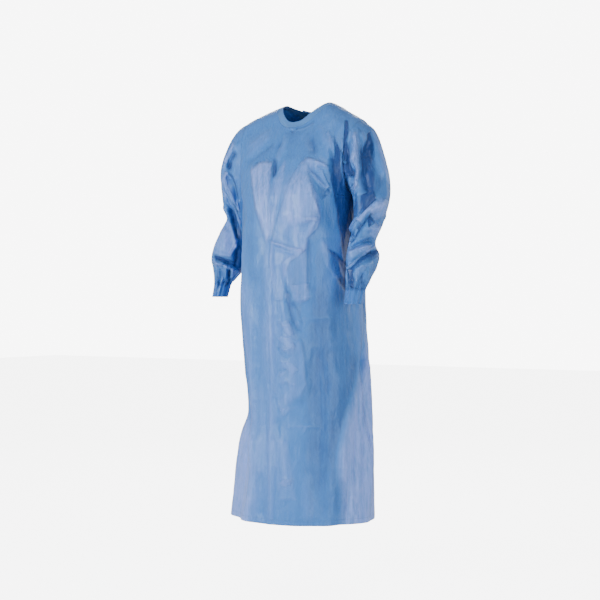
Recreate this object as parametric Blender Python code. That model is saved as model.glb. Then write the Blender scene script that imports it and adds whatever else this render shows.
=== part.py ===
"""Isolation gown, worn open at the back, in its hollow standing form.

Metres, +Z up, the front faces -Y and the wearer's left is +X. The origin is the middle of the neck
opening. Every cloth piece is a thin closed wall: an outer grid of points worked out from section and
fold tables, the same grid moved in by the cloth's thickness, and a rim that joins the two.
"""

import math

import bmesh
import bpy
import numpy as np

# Cloth and seams
WALL = 0.0013
SEAM_GAP = 0.0003
SEAM_Y = 0.015

# Neck opening and the seam line of its binding, each an ellipse seen from above: its half width, and
# its depths before and behind the shoulder seams
NECK_OPENING = (0.0765, 0.080, 0.050)
NECK_SEAM = (0.0945, 0.0905, 0.067)

# Shoulder ridge, armhole and the rounding of the yoke between them
RIDGE_HEIGHT = 0.020
NECK_MIDDLE_Z = -0.05
RIDGE_FALL_LEFT = 1.6
RIDGE_FALL_RIGHT = 1.3
UNDERARM_Z = -0.290
ARMHOLE_INSET = 0.003
ARMHOLE_FRONT = 0.098
ARMHOLE_BACK = 0.075
UNDERARM_X = 0.172
SHOULDER_X = 0.190
SHOULDER_Z_LEFT = -0.062
SHOULDER_Z_RIGHT = -0.036
CHEST_SLOPE = 1.27
RIDGE_ROUNDING = 0.25
ROUNDING_START = 0.7
BACK_SLOPE = 1.75
CLIMB_EVENNESS = 0.35
SQUARE_LOSS = 0.8
NECK_SEARCH_FLOOR = 0.30
HALVINGS = 40

# Back opening
LAP_STEPS = 3
LAP_LIFT = 0.0075
LAP_RAMP = 1.15

# Grid steps, and the share of a panel's half width that the neck takes
NECK_STEPS = 7
NECK_SHARE = 0.320
SHOULDER_STEPS = 7
ARMHOLE_STEPS = 12
SKIRT_ROWS = 24
SECTION_SAMPLES = 241
SLEEVE_STEPS = 2
CUFF_ROWS = 5
LAP_SHARE = NECK_SHARE * LAP_STEPS / NECK_STEPS

# Neck binding and cuffs
BINDING_ROWS = 4
BINDING_EXTRA = 0.0004
CUFF_FLUTE_DEPTH = 0.0014
CUFF_FLUTE_START = 0.3
GATHER_FLUTES = 12
GATHER_DEPTH = 0.0030
GATHER_STATIONS = 2.4

# Where folds fade out: at a body fold's own ends, up the yoke, beside the armhole edge, and where a
# sleeve starts. A sleeve keeps its armhole's own outline for a few stations of its table.
FOLD_TOP_FADE = 0.22
FOLD_FOOT_FADE = 0.12
YOKE_FOLD_END = 0.8
YOKE_EDGE_RISE = 0.15
EDGE_FADE_SHARE = 0.25
SLEEVE_FOLD_START = 0.8
ARMHOLE_STATIONS = 3.0

# Closing tab, between the back panels under the binding
TAB_SIZES = (1.35, 2.40)
TAB_TURN = 20.0
TAB_HEIGHTS = (0.0007, 0.0045)
TAB_ROWS = 4
TAB_COLUMNS = 7

# Waist ties. share is the place across the back, 1 at the wearer's left side seam, 0 in the middle;
# lift is how far the tie's underside stands off the inner panel.
TIE_COLUMNS = ("share", "height", "lift", "width", "wall")
TIE_LEFT = (
    ("sewn end", 0.560, -0.436, 0.0012, 0.020, 0.0012),
    ("side", 0.460, -0.437, 0.0013, 0.020, 0.0012),
    ("over the lap's start", 0.360, -0.439, 0.0020, 0.020, 0.0012),
    ("climb", 0.270, -0.440, 0.0050, 0.019, 0.0012),
    ("on the lap", 0.180, -0.441, 0.0085, 0.018, 0.0012),
    ("before the knot", 0.090, -0.441, 0.0104, 0.015, 0.0014),
    ("knot edge", 0.045, -0.442, 0.0112, 0.017, 0.0040),
    ("knot", 0.010, -0.447, 0.0112, 0.022, 0.0075),
    ("knot foot", -0.012, -0.460, 0.0112, 0.019, 0.0055),
    ("below the knot", -0.026, -0.478, 0.0108, 0.014, 0.0014),
    ("upper tail", -0.038, -0.520, 0.0100, 0.018, 0.0012),
    ("mid tail", -0.044, -0.580, 0.0100, 0.020, 0.0012),
    ("lower tail", -0.040, -0.640, 0.0100, 0.020, 0.0012),
    ("tail end", -0.046, -0.700, 0.0100, 0.020, 0.0012),
)
TIE_RIGHT = (
    ("sewn end", -0.560, -0.430, 0.0012, 0.020, 0.0012),
    ("side", -0.460, -0.432, 0.0013, 0.020, 0.0012),
    ("before the lap", -0.360, -0.435, 0.0020, 0.020, 0.0012),
    ("climb", -0.260, -0.438, 0.0055, 0.019, 0.0012),
    ("over the lap's edge", -0.180, -0.440, 0.0090, 0.018, 0.0012),
    ("on the lap", -0.090, -0.442, 0.0090, 0.014, 0.0012),
    ("under the knot", -0.030, -0.444, 0.0088, 0.011, 0.0010),
    ("turn", 0.006, -0.449, 0.0088, 0.010, 0.0010),
    ("turn down", 0.030, -0.462, 0.0088, 0.011, 0.0010),
    ("below the knot", 0.040, -0.480, 0.0088, 0.013, 0.0010),
    ("upper tail", 0.052, -0.525, 0.0088, 0.018, 0.0012),
    ("mid tail", 0.060, -0.590, 0.0088, 0.020, 0.0012),
    ("lower tail", 0.058, -0.650, 0.0088, 0.020, 0.0012),
    ("tail end", 0.064, -0.725, 0.0088, 0.020, 0.0012),
)

# Body sections from the hem up. half_width is along X; front and back are distances from the origin's
# plane to the middle of the front and of the back; square is the exponent of the rounded section.
BODY_COLUMNS = ("height", "half_width", "front", "back", "shift", "square")
BODY_SECTIONS = (
    ("hem", -1.243, 0.214, 0.190, 0.165, -0.006, 2.2),
    ("shin", -1.090, 0.202, 0.182, 0.163, 0.004, 2.2),
    ("knee", -0.930, 0.184, 0.174, 0.160, 0.011, 2.3),
    ("thigh", -0.780, 0.182, 0.180, 0.155, 0.002, 2.4),
    ("hip", -0.620, 0.180, 0.186, 0.150, -0.006, 2.6),
    ("waist", -0.450, 0.170, 0.186, 0.138, -0.003, 2.9),
    ("underarm", UNDERARM_Z, UNDERARM_X, 0.178, 0.138, 0.000, 3.0),
)

# Body folds. An angle is turned from the middle of the front, in degrees, and grows toward the
# wearer's left; the middle of the back is 180. A fold runs from its top to its foot and fades at both.
FOLD_COLUMNS = ("top_angle", "top", "foot_angle", "foot", "half_angle", "height")
BODY_FOLDS = (
    ("centre crease", 0.0, -0.34, 0.0, -1.30, 3.0, 0.0035),
    ("chest hollow", 16.0, -0.14, 22.0, -0.44, 7.0, -0.0060),
    ("chest ridge", 31.0, -0.16, 38.0, -0.48, 7.0, 0.0055),
    ("right chest ridge", -20.0, -0.15, -16.0, -0.50, 8.0, 0.0040),
    ("waist hollow", 40.0, -0.34, 30.0, -0.64, 7.0, -0.0075),
    ("waist ridge", 24.0, -0.38, 14.0, -0.74, 7.0, 0.0060),
    ("left front hollow", 42.0, -0.62, 34.0, -1.30, 11.0, -0.0080),
    ("left side hollow", 102.0, -0.66, 58.0, -1.24, 8.0, -0.0110),
    ("left side ridge", 116.0, -0.66, 78.0, -1.30, 9.0, 0.0100),
    ("right front ridge", -26.0, -0.58, -24.0, -1.30, 9.0, 0.0060),
    ("right front hollow", -44.0, -0.55, -42.0, -1.30, 8.0, -0.0080),
    ("right hem flare", -60.0, -0.92, -64.0, -1.34, 12.0, 0.0150),
    ("left back hollow", 136.0, -0.50, 134.0, -1.30, 10.0, -0.0080),
    ("left back ridge", 154.0, -0.46, 158.0, -1.30, 9.0, 0.0060),
    ("right back ridge", -112.0, -0.55, -118.0, -1.30, 11.0, 0.0090),
    ("right back hollow", -138.0, -0.48, -142.0, -1.30, 10.0, -0.0080),
)

# Sleeve sections from the armhole to the cuff. inner is the line down the underarm and outer the line
# down the shoulder side, each with its distance from the middle plane and its height; middle is where
# the section's centre lies along Y; front and back are its half depths.
SLEEVE_COLUMNS = ("inner_x", "inner_z", "outer_x", "outer_z", "middle", "front", "back")
SLEEVE_SECTIONS_LEFT = (
    ("armhole", 0.172, -0.290, 0.190, -0.062, 0.015, 0.098, 0.075),
    ("cap", 0.181, -0.297, 0.221, -0.090, 0.010, 0.094, 0.075),
    ("shoulder", 0.183, -0.306, 0.242, -0.128, 0.004, 0.086, 0.073),
    ("upper arm", 0.184, -0.320, 0.260, -0.177, 0.000, 0.079, 0.070),
    ("biceps", 0.184, -0.337, 0.279, -0.235, -0.006, 0.073, 0.068),
    ("elbow", 0.184, -0.360, 0.281, -0.300, -0.009, 0.069, 0.066),
    ("below elbow", 0.184, -0.388, 0.268, -0.360, -0.024, 0.062, 0.060),
    ("notch", 0.188, -0.430, 0.257, -0.424, -0.050, 0.051, 0.050),
    ("bulge", 0.185, -0.466, 0.273, -0.462, -0.057, 0.057, 0.056),
    ("lower", 0.188, -0.502, 0.269, -0.502, -0.067, 0.051, 0.051),
    ("gather", 0.194, -0.537, 0.256, -0.540, -0.082, 0.040, 0.040),
    ("wrist", 0.199, -0.556, 0.251, -0.558, -0.092, 0.032, 0.031),
)
SLEEVE_SECTIONS_RIGHT = (
    ("armhole", 0.172, -0.290, 0.190, -0.036, 0.015, 0.098, 0.075),
    ("cap", 0.181, -0.297, 0.237, -0.062, 0.012, 0.094, 0.075),
    ("shoulder", 0.183, -0.306, 0.268, -0.110, 0.008, 0.086, 0.073),
    ("upper arm", 0.184, -0.319, 0.293, -0.165, 0.008, 0.079, 0.070),
    ("biceps", 0.184, -0.335, 0.297, -0.228, 0.010, 0.073, 0.068),
    ("elbow", 0.184, -0.356, 0.291, -0.296, 0.010, 0.068, 0.066),
    ("crook", 0.184, -0.378, 0.277, -0.336, 0.004, 0.062, 0.062),
    ("forearm", 0.190, -0.412, 0.298, -0.395, -0.016, 0.058, 0.057),
    ("bulge", 0.202, -0.462, 0.312, -0.455, -0.034, 0.055, 0.054),
    ("lower", 0.214, -0.495, 0.308, -0.491, -0.034, 0.050, 0.050),
    ("gather", 0.234, -0.521, 0.300, -0.519, -0.040, 0.039, 0.039),
    ("wrist", 0.248, -0.537, 0.295, -0.536, -0.047, 0.031, 0.031),
)

# Sleeve folds. station is a place down the section table, from 0 at the armhole; turn is the angle
# round the sleeve in degrees, 0 at the underarm, 90 at the front, 180 at the shoulder side.
SLEEVE_FOLD_COLUMNS = ("station", "turn", "drift", "half_length", "half_turn", "height")
SLEEVE_FOLDS_LEFT = (
    ("shoulder hollow", 2.6, 148.0, 4.0, 1.8, 15.0, -0.0110),
    ("outer ridge", 3.2, 182.0, -4.0, 2.0, 15.0, 0.0050),
    ("front ridge", 2.3, 112.0, 10.0, 1.6, 15.0, 0.0070),
    ("elbow cross fold", 5.4, 100.0, -42.0, 0.8, 17.0, -0.0090),
    ("elbow ridge", 6.1, 118.0, -30.0, 0.7, 17.0, 0.0060),
    ("elbow back fold", 5.4, 232.0, 26.0, 0.8, 22.0, -0.0070),
    ("forearm fold", 7.6, 112.0, 24.0, 0.6, 18.0, -0.0060),
    ("forearm ridge", 8.4, 100.0, 20.0, 0.6, 18.0, 0.0050),
    ("back hollow", 3.0, 262.0, 8.0, 1.8, 17.0, -0.0070),
)
SLEEVE_FOLDS_RIGHT = (
    ("shoulder hollow", 2.6, 96.0, -8.0, 1.7, 15.0, -0.0090),
    ("outer ridge", 3.0, 128.0, -4.0, 1.8, 15.0, 0.0050),
    ("elbow cross fold", 5.8, 86.0, 34.0, 0.8, 17.0, -0.0100),
    ("forearm facet", 7.4, 118.0, -14.0, 0.9, 18.0, 0.0060),
    ("cross crease", 8.7, 76.0, 30.0, 0.5, 17.0, -0.0060),
    ("elbow back fold", 5.6, 226.0, -24.0, 0.8, 22.0, -0.0070),
    ("back hollow", 3.0, 262.0, 8.0, 1.8, 17.0, -0.0070),
)

# Cuff casings: how far each one runs on from the wrist section, and its drift on the way
CUFF_LENGTH = 0.046
CUFF_DRIFT_LEFT = (0.001, -0.018)
CUFF_DRIFT_RIGHT = (0.006, -0.010)
CUFF_SHRINK = 0.94

# Colours, linear
CLOTH_BLUE = (0.150, 0.300, 0.560, 1.0)
BINDING_BLUE = (0.290, 0.430, 0.640, 1.0)
TIE_BLUE = (0.190, 0.340, 0.590, 1.0)
CLOTH_ROUGHNESS = 0.42
BINDING_ROUGHNESS = 0.75
TIE_ROUGHNESS = 0.55
TAB_ROUGHNESS = 0.80

# A step for slopes, as a share or in metres, and the distance under which two grid points are one
SLOPE_STEP = 0.001
SAME_POINT = 2e-6


def smoothstep(value):
    """Return the ease curve 3v^2 - 2v^3 of value held between 0 and 1."""
    held = np.clip(value, 0.0, 1.0)
    return held * held * (3.0 - 2.0 * held)


def named(columns, row):
    """Return one table row's numbers by their column names."""
    return dict(zip(columns, row[1:], strict=True))


def spline_rows(rows, at):
    """Return the table's number columns on a Catmull-Rom curve at fractional row places."""
    values = np.array([row[1:] for row in rows], dtype=float)
    last = len(values) - 1
    at = np.clip(np.asarray(at, dtype=float), 0.0, last)
    low = np.minimum(np.floor(at).astype(int), last - 1)
    part = (at - low)[..., None]
    before = values[np.maximum(low - 1, 0)]
    start = values[low]
    end = values[low + 1]
    after = values[np.minimum(low + 2, last)]
    slope_start = (end - before) / 2.0
    slope_end = (after - start) / 2.0
    cubed = part ** 3
    squared = part ** 2
    return (
        (2.0 * cubed - 3.0 * squared + 1.0) * start
        + (cubed - 2.0 * squared + part) * slope_start
        + (3.0 * squared - 2.0 * cubed) * end
        + (cubed - squared) * slope_end
    )


def rounded_unit(angle, square):
    """Return the side and front shares of a rounded section of half size one at an angle."""
    side = np.sin(angle)
    front = np.cos(angle)
    reach = (np.abs(side) ** square + np.abs(front) ** square) ** (1.0 / square)
    return side / reach, front / reach


def fold_height(folds, angle, height):
    """Return how far the body folds move the cloth out, for angles in degrees and heights."""
    total = np.zeros(np.broadcast(angle, height).shape)
    for row in folds:
        fold = named(FOLD_COLUMNS, row)
        along = (fold["top"] - height) / (fold["top"] - fold["foot"])
        line = fold["top_angle"] + (fold["foot_angle"] - fold["top_angle"]) * along
        off = (angle - line + 180.0) % 360.0 - 180.0
        ends = smoothstep(along / FOLD_TOP_FADE) * smoothstep((1.0 - along) / FOLD_FOOT_FADE + 1.0)
        total += fold["height"] * np.exp(-((off / fold["half_angle"]) ** 2)) * ends
    return total


def section_at(height):
    """Return the body section's numbers at each height, by column name."""
    dense = spline_rows(BODY_SECTIONS, np.linspace(0.0, len(BODY_SECTIONS) - 1, SECTION_SAMPLES)).T
    return {name: np.interp(height, dense[0], column) for name, column in zip(BODY_COLUMNS, dense)}


def skirt_point(facing, share, height):
    """Return points of the body below the underarm; facing is -1 for the front and +1 for the back."""
    share, height = np.broadcast_arrays(share, height)
    section = section_at(height)
    side, ahead = rounded_unit(share * math.pi / 2.0, section["square"])
    depth = section["front"] + SEAM_Y if facing < 0 else section["back"] - SEAM_Y
    rise = fold_height(BODY_FOLDS, fold_angle(facing, share), height)
    x = section["shift"] + (section["half_width"] + rise) * side
    y = SEAM_Y + facing * (depth + rise) * ahead
    return np.stack([x, y, height], axis=-1)


def fold_angle(facing, share):
    """Return the angle round the body in degrees that a share of the front or back stands at."""
    turned = share * 90.0
    return turned if facing < 0 else 180.0 - turned


def edge_reach(up):
    """Return the armhole edge's distance from the middle plane at a share of the yoke's height."""
    rise = (1.0 - np.cos(math.pi * up)) / 2.0
    return UNDERARM_X + (SHOULDER_X - UNDERARM_X) * rise - ARMHOLE_INSET * np.sin(math.pi * up)


def yoke_point(facing, across, up):
    """Return points of the body above the underarm.

    across is the share of the half width, signed; up runs from 0 at the underarm to 1 at the ridge.
    """
    across, up = np.broadcast_arrays(np.asarray(across, dtype=float), np.asarray(up, dtype=float))
    rise = (1.0 - np.cos(math.pi * up)) / 2.0
    edge_depth = (ARMHOLE_FRONT if facing < 0 else ARMHOLE_BACK) * np.sin(math.pi * up)
    shoulder_z = np.where(across > 0.0, SHOULDER_Z_LEFT, SHOULDER_Z_RIGHT)
    edge_z = UNDERARM_Z + (shoulder_z - UNDERARM_Z) * rise
    climb = np.clip(CLIMB_EVENNESS * up + (1.0 - CLIMB_EVENNESS) * rise, 0.0, 1.0)
    underarm = named(BODY_COLUMNS, BODY_SECTIONS[-1])
    if facing < 0:
        full_depth = underarm["front"] + SEAM_Y
        slope = CHEST_SLOPE + RIDGE_ROUNDING * smoothstep((climb - ROUNDING_START) / (1.0 - ROUNDING_START))
    else:
        full_depth = underarm["back"] - SEAM_Y
        slope = BACK_SLOPE
    middle_depth = full_depth * (1.0 - climb ** slope) ** (1.0 / slope)
    middle_z = UNDERARM_Z + (RIDGE_HEIGHT - UNDERARM_Z) * climb
    square = underarm["square"] - SQUARE_LOSS * up
    held = np.clip(np.abs(across), 0.0, 1.0)
    ahead = (1.0 - held ** square) ** (1.0 / square)
    depth = edge_depth + (middle_depth - edge_depth) * ahead
    fall = np.where(across > 0.0, RIDGE_FALL_LEFT, RIDGE_FALL_RIGHT)
    z = middle_z + (edge_z - middle_z) * held ** fall
    return np.stack([edge_reach(up) * across, SEAM_Y + facing * depth, z], axis=-1)


def yoke_place(facing, x, depth):
    """Return (across, up) of the yoke points at x and at a depth from the seam plane, by halving."""
    low = np.full(np.shape(x), NECK_SEARCH_FLOOR)
    high = np.full(np.shape(x), 1.0)
    for _ in range(HALVINGS):
        up = (low + high) / 2.0
        reached = (yoke_point(facing, x / edge_reach(up), up)[..., 1] - SEAM_Y) * facing
        low = np.where(reached > depth, up, low)
        high = np.where(reached > depth, high, up)
    up = (low + high) / 2.0
    return x / edge_reach(up), up


def yoke_grid(facing, shares):
    """Return rows of points from the underarm to the shoulder ridge and the neckline."""
    steps = np.linspace(0.0, 1.0, ARMHOLE_STEPS + 1)[:, None]
    half_width, front_depth, back_depth = NECK_SEAM
    turn = np.clip(shares / NECK_SHARE, -1.0, 1.0) * math.pi / 2.0
    neck_depth = (front_depth if facing < 0 else back_depth) * np.cos(turn)
    neck_across, neck_up = yoke_place(facing, half_width * np.sin(turn), neck_depth)
    in_neck = np.abs(shares) < NECK_SHARE - SAME_POINT
    past = (np.abs(shares) - NECK_SHARE) / (1.0 - NECK_SHARE)
    neck_edge = half_width / SHOULDER_X
    shoulder_across = np.sign(shares) * (neck_edge + (1.0 - neck_edge) * past)
    top_up = np.where(in_neck, neck_up, 1.0)
    top_across = np.where(in_neck, neck_across, shoulder_across)
    underarm = named(BODY_COLUMNS, BODY_SECTIONS[-1])
    low_across, _ = rounded_unit(shares * math.pi / 2.0, underarm["square"])
    across = low_across * (1.0 - steps ** 2) + top_across * steps ** 2
    return yoke_point(facing, across, steps * top_up)


def body_grid(facing, shares, lift):
    """Return a panel's rows, hem to neck; lift is how far each of its columns stands out."""
    hem = named(BODY_COLUMNS, BODY_SECTIONS[0])
    heights = np.linspace(hem["height"], UNDERARM_Z, SKIRT_ROWS + 1)[:, None]
    skirt = skirt_point(facing, shares[None, :], heights)
    yoke = yoke_grid(facing, shares)
    up = np.linspace(0.0, 1.0, ARMHOLE_STEPS + 1)[:, None]
    side, ahead = rounded_unit(shares * math.pi / 2.0, 2.0)
    rise = fold_height(BODY_FOLDS, fold_angle(facing, shares), yoke[..., 2])
    inside = smoothstep((1.0 - np.abs(shares)) / EDGE_FADE_SHARE)
    rise = rise * (1.0 - smoothstep(up / YOKE_FOLD_END))
    rise = rise * (1.0 - smoothstep(up / YOKE_EDGE_RISE) * (1.0 - inside))
    outward = np.stack([side, facing * ahead, np.zeros_like(side)], axis=-1)
    yoke = yoke + outward * rise[..., None]
    grid = np.concatenate([skirt, yoke[1:]], axis=0)
    return grid + outward_normals(grid, False) * lift[None, :, None]


def lap_lift(shares):
    """Return how far the outer back panel stands off the inner one, by place across the back."""
    ramp = (NECK_SHARE - shares) / (NECK_SHARE - LAP_SHARE)
    return LAP_LIFT * np.clip(ramp * LAP_RAMP, 0.0, 1.0)


def outward_normals(grid, ring):
    """Return unit normals of a grid of points that face away from the middle of what it wraps."""
    wide = np.concatenate([grid, grid[:, :1]], axis=1) if ring else grid
    face = np.cross(wide[1:, 1:] - wide[:-1, :-1], wide[1:, :-1] - wide[:-1, 1:])
    face = face / np.linalg.norm(face, axis=-1, keepdims=True)
    normal = np.zeros_like(wide)
    for rows in (slice(None, -1), slice(1, None)):
        for columns in (slice(None, -1), slice(1, None)):
            normal[rows, columns] += face
    if ring:
        normal[:, 0] += normal[:, -1]
        normal = normal[:, :-1]
        middle = grid.mean(axis=1, keepdims=True)
    else:
        middle = grid * np.array([0.0, 0.0, 1.0]) + np.array([0.0, SEAM_Y, NECK_MIDDLE_Z])
    normal = normal / np.linalg.norm(normal, axis=-1, keepdims=True)
    return normal * math.copysign(1.0, float((normal * (grid - middle)).sum()))


def column_shares():
    """Return half a panel's column places, from the middle to the side seam, past the neck point."""
    neck = np.linspace(0.0, NECK_SHARE, NECK_STEPS + 1)
    shoulder = np.linspace(NECK_SHARE, 1.0, SHOULDER_STEPS + 1)
    return np.concatenate([neck, shoulder[1:]])


def sleeve_grid(sections, folds, sign, ring):
    """Return a sleeve's rings from the armhole to the wrist; ring holds the armhole's own points."""
    last = len(sections) - 1
    station = np.linspace(0.0, last, last * SLEEVE_STEPS + 1)[:, None]
    section = dict(zip(SLEEVE_COLUMNS, np.moveaxis(spline_rows(sections, station), -1, 0)))
    turn = ring_turns(len(ring))[None, :]
    reach = (1.0 - np.cos(turn)) / 2.0
    depth = np.where(np.sin(turn) > 0.0, section["front"], section["back"]) * np.sin(turn)
    x = sign * (section["inner_x"] + (section["outer_x"] - section["inner_x"]) * reach)
    z = section["inner_z"] + (section["outer_z"] - section["inner_z"]) * reach
    grid = np.stack([x, section["middle"] - depth, z], axis=-1)
    fade = np.clip(1.0 - station / ARMHOLE_STATIONS, 0.0, 1.0)[..., None] ** 2
    grid = grid + (ring - grid[0])[None] * fade
    rise = sleeve_fold_height(folds, station, np.degrees(turn))
    gathered = smoothstep((station - last) / GATHER_STATIONS + 1.0)
    rise = rise + GATHER_DEPTH * gathered * np.cos(turn * GATHER_FLUTES)
    return grid + ring_outward(grid) * rise[..., None]


def ring_turns(count):
    """Return the angles round a sleeve of its ring's points, from the underarm to the front."""
    return np.linspace(0.0, 2.0 * math.pi, count + 1)[:-1]


def ring_outward(grid):
    """Return unit directions from the middle of each ring to its points."""
    outward = grid - grid.mean(axis=1, keepdims=True)
    return outward / np.linalg.norm(outward, axis=-1, keepdims=True)


def sleeve_fold_height(folds, station, turn):
    """Return how far a sleeve's folds move its cloth out; stations are table places, turns degrees."""
    total = np.zeros(np.broadcast(station, turn).shape)
    for row in folds:
        fold = named(SLEEVE_FOLD_COLUMNS, row)
        along = (station - fold["station"]) / fold["half_length"]
        off = (turn - fold["turn"] - fold["drift"] * along + 180.0) % 360.0 - 180.0
        total += fold["height"] * np.exp(-((off / fold["half_turn"]) ** 2) - along ** 2)
    return total * smoothstep(station / SLEEVE_FOLD_START)


def cuff_grid(sign, drift, ring):
    """Return a cuff casing's rings, from the gathered end of its sleeve down to its open end."""
    part = np.linspace(0.0, 1.0, CUFF_ROWS)[:, None, None]
    turn = ring_turns(len(ring))[None, :, None]
    drop = np.array([sign * drift[0], drift[1], -CUFF_LENGTH])
    centre = ring.mean(axis=0)
    outward = ring_outward(ring[None])
    flute = np.cos(turn * GATHER_FLUTES) * smoothstep(part / CUFF_FLUTE_START)
    spread = (ring - centre) * (1.0 - (1.0 - CUFF_SHRINK) * part)
    return centre + drop * part + spread + outward * flute * (CUFF_FLUTE_DEPTH - GATHER_DEPTH)


def weld_normals(grids, rings):
    """Return unit outward normals for each grid, averaged where grids share a point."""
    raw = [outward_normals(grid, ring) for grid, ring in zip(grids, rings)]
    points = np.concatenate([grid.reshape(-1, 3) for grid in grids])
    normals = np.concatenate([normal.reshape(-1, 3) for normal in raw])
    keys = np.round(points / SAME_POINT).astype(np.int64)
    _, index = np.unique(keys, axis=0, return_inverse=True)
    index = index.reshape(-1)
    total = np.zeros((index.max() + 1, 3))
    np.add.at(total, index, normals)
    merged = total[index]
    merged = merged / np.linalg.norm(merged, axis=1, keepdims=True)
    cuts = np.cumsum([grid.shape[0] * grid.shape[1] for grid in grids])[:-1]
    return [part.reshape(grid.shape) for part, grid in zip(np.split(merged, cuts), grids)]


def seam_steps(grid, normal, ring):
    """Return the steps that draw a grid's outside rows and columns in by half the seam gap."""
    steps = np.zeros_like(grid)
    every = slice(None)
    edges = [((0, every), (1, every)), ((-1, every), (-2, every))]
    if not ring:
        edges += [((every, 0), (every, 1)), ((every, -1), (every, -2))]
    for edge, inside in edges:
        line = grid[edge]
        run = np.roll(line, -1, axis=0) - np.roll(line, 1, axis=0) if ring else np.gradient(line, axis=0)
        inward = np.cross(normal[edge], run)
        inward = inward / np.linalg.norm(inward, axis=-1, keepdims=True)
        side = math.copysign(1.0, float((inward * (grid[inside] - line)).sum()))
        steps[edge] += inward * side * SEAM_GAP / 2.0
    return steps


def wall_quads(rows, columns, ring):
    """Return a wall's outer quads and rim quads, its outer points coming before its inner ones."""
    count = rows * columns
    place = np.arange(count).reshape(rows, columns)
    if ring:
        place = np.concatenate([place, place[:, :1]], axis=1)
    skin = np.stack([place[:-1, :-1], place[:-1, 1:], place[1:, 1:], place[1:, :-1]], axis=-1)
    skin = skin.reshape(-1, 4)
    edges = [(place[0, :-1], place[0, 1:]), (place[-1, 1:], place[-1, :-1])]
    if not ring:
        edges += [(place[1:, 0], place[:-1, 0]), (place[:-1, -1], place[1:, -1])]
    rim = [np.stack([end, start, start + count, end + count], axis=-1) for start, end in edges]
    return skin, np.concatenate(rim)


def skin_triangles(points, skin, count):
    """Return both skins' triangles, cut alike along the shorter diagonal of each outer quad."""
    corners = points[skin]
    across = np.linalg.norm(corners[:, 0] - corners[:, 2], axis=1)
    other = np.linalg.norm(corners[:, 1] - corners[:, 3], axis=1)
    turned = np.where((across <= other)[:, None], skin, np.roll(skin, -1, axis=1))
    outer = np.concatenate([turned[:, :3], turned[:, [0, 2, 3]]])
    return np.concatenate([outer, outer[:, ::-1] + count]).tolist()


def rim_triangles(points, rim):
    """Return a rim's quads cut so that both walls of a seam have the same cuts, from the lower end."""
    triangles = []
    for end, start, start_in, end_in in rim.tolist():
        if points[end, 2] < points[start, 2]:
            triangles += [(end, start, start_in), (end, start_in, end_in)]
        else:
            triangles += [(end, start, end_in), (start, start_in, end_in)]
    return triangles


def add_solid(collection, name, points, faces, material):
    """Add a closed mesh object with its faces turned outward and shaded smooth."""
    mesh = bpy.data.meshes.new(name)
    mesh.from_pydata(np.asarray(points).reshape(-1, 3).tolist(), [], faces)
    work = bmesh.new()
    work.from_mesh(mesh)
    bmesh.ops.recalc_face_normals(work, faces=work.faces)
    work.to_mesh(mesh)
    work.free()
    mesh.shade_smooth()
    mesh.materials.append(material)
    collection.objects.link(bpy.data.objects.new(name, mesh))


def add_wall(collection, name, outer, inner, ring, material):
    """Add a closed wall between an outer and an inner grid of points."""
    points = np.concatenate([outer.reshape(-1, 3), inner.reshape(-1, 3)])
    skin, rim = wall_quads(outer.shape[0], outer.shape[1], ring)
    count = len(points) // 2
    faces = skin_triangles(points, skin, count) + rim_triangles(points, rim)
    add_solid(collection, name, points, faces, material)


def add_band(collection, name, rails, material):
    """Add a closed solid from rows of points round its section, one row for each place along it."""
    rows, columns = rails.shape[:2]
    place = np.arange(rows * columns).reshape(rows, columns)
    place = np.concatenate([place, place[:, :1]], axis=1)
    skin = np.stack([place[:-1, :-1], place[:-1, 1:], place[1:, 1:], place[1:, :-1]], axis=-1)
    faces = skin.reshape(-1, 4).tolist()
    faces += [place[0, :-1][::-1].tolist(), place[-1, :-1].tolist()]
    add_solid(collection, name, rails, faces, material)


def neck_points(facing, turn, size):
    """Return points of the yoke round the neck; size goes from 0 at the opening to 1 at the seam."""
    half_width, front_depth, back_depth = [
        opening + (seam - opening) * size for opening, seam in zip(NECK_OPENING, NECK_SEAM)
    ]
    depth = (front_depth if facing < 0 else back_depth) * np.cos(turn)
    across, up = yoke_place(facing, half_width * np.sin(turn), depth)
    return yoke_point(facing, across, up)


def binding_grid(front, back_left, back_right):
    """Return the neck binding's rows, from the panels' own edge points to the edge of the opening."""
    neck = slice(SHOULDER_STEPS + 1, None)
    behind = np.arange(1, NECK_STEPS + LAP_STEPS + 1)
    turn = math.pi / 2.0 - behind * math.pi / 2.0 / NECK_STEPS
    ahead = np.arange(-NECK_STEPS, NECK_STEPS + 1) * math.pi / 2.0 / NECK_STEPS
    edge = np.concatenate([
        back_right[-1, neck][::-1],
        front[-1, SHOULDER_STEPS:len(front[-1]) - SHOULDER_STEPS],
        back_left[-1, neck],
    ])
    rows = []
    for size in np.linspace(1.0, 0.0, BINDING_ROWS):
        rows.append(np.concatenate([
            neck_points(1, -turn[::-1], size),
            neck_points(-1, ahead, size),
            neck_points(1, turn, size),
        ]))
    return np.array(rows) + (edge - rows[0])[None]


def tab_rails():
    """Return the sections of the closing tab, from its lower edge to its upper edge."""
    low, high = TAB_HEIGHTS
    turn = np.radians(np.linspace(-TAB_TURN, TAB_TURN, TAB_COLUMNS))
    rails = []
    for size in np.linspace(TAB_SIZES[1], TAB_SIZES[0], TAB_ROWS):
        spot = neck_points(1, turn, size)
        beside = neck_points(1, turn + SLOPE_STEP, size)
        beyond = neck_points(1, turn, size + SLOPE_STEP)
        normal = np.cross(beside - spot, beyond - spot)
        normal = normal / np.linalg.norm(normal, axis=-1, keepdims=True)
        normal = normal * np.sign(normal[..., 2:3])
        rails.append(np.concatenate([spot + normal * low, (spot + normal * high)[::-1]]))
    return np.array(rails)


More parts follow.
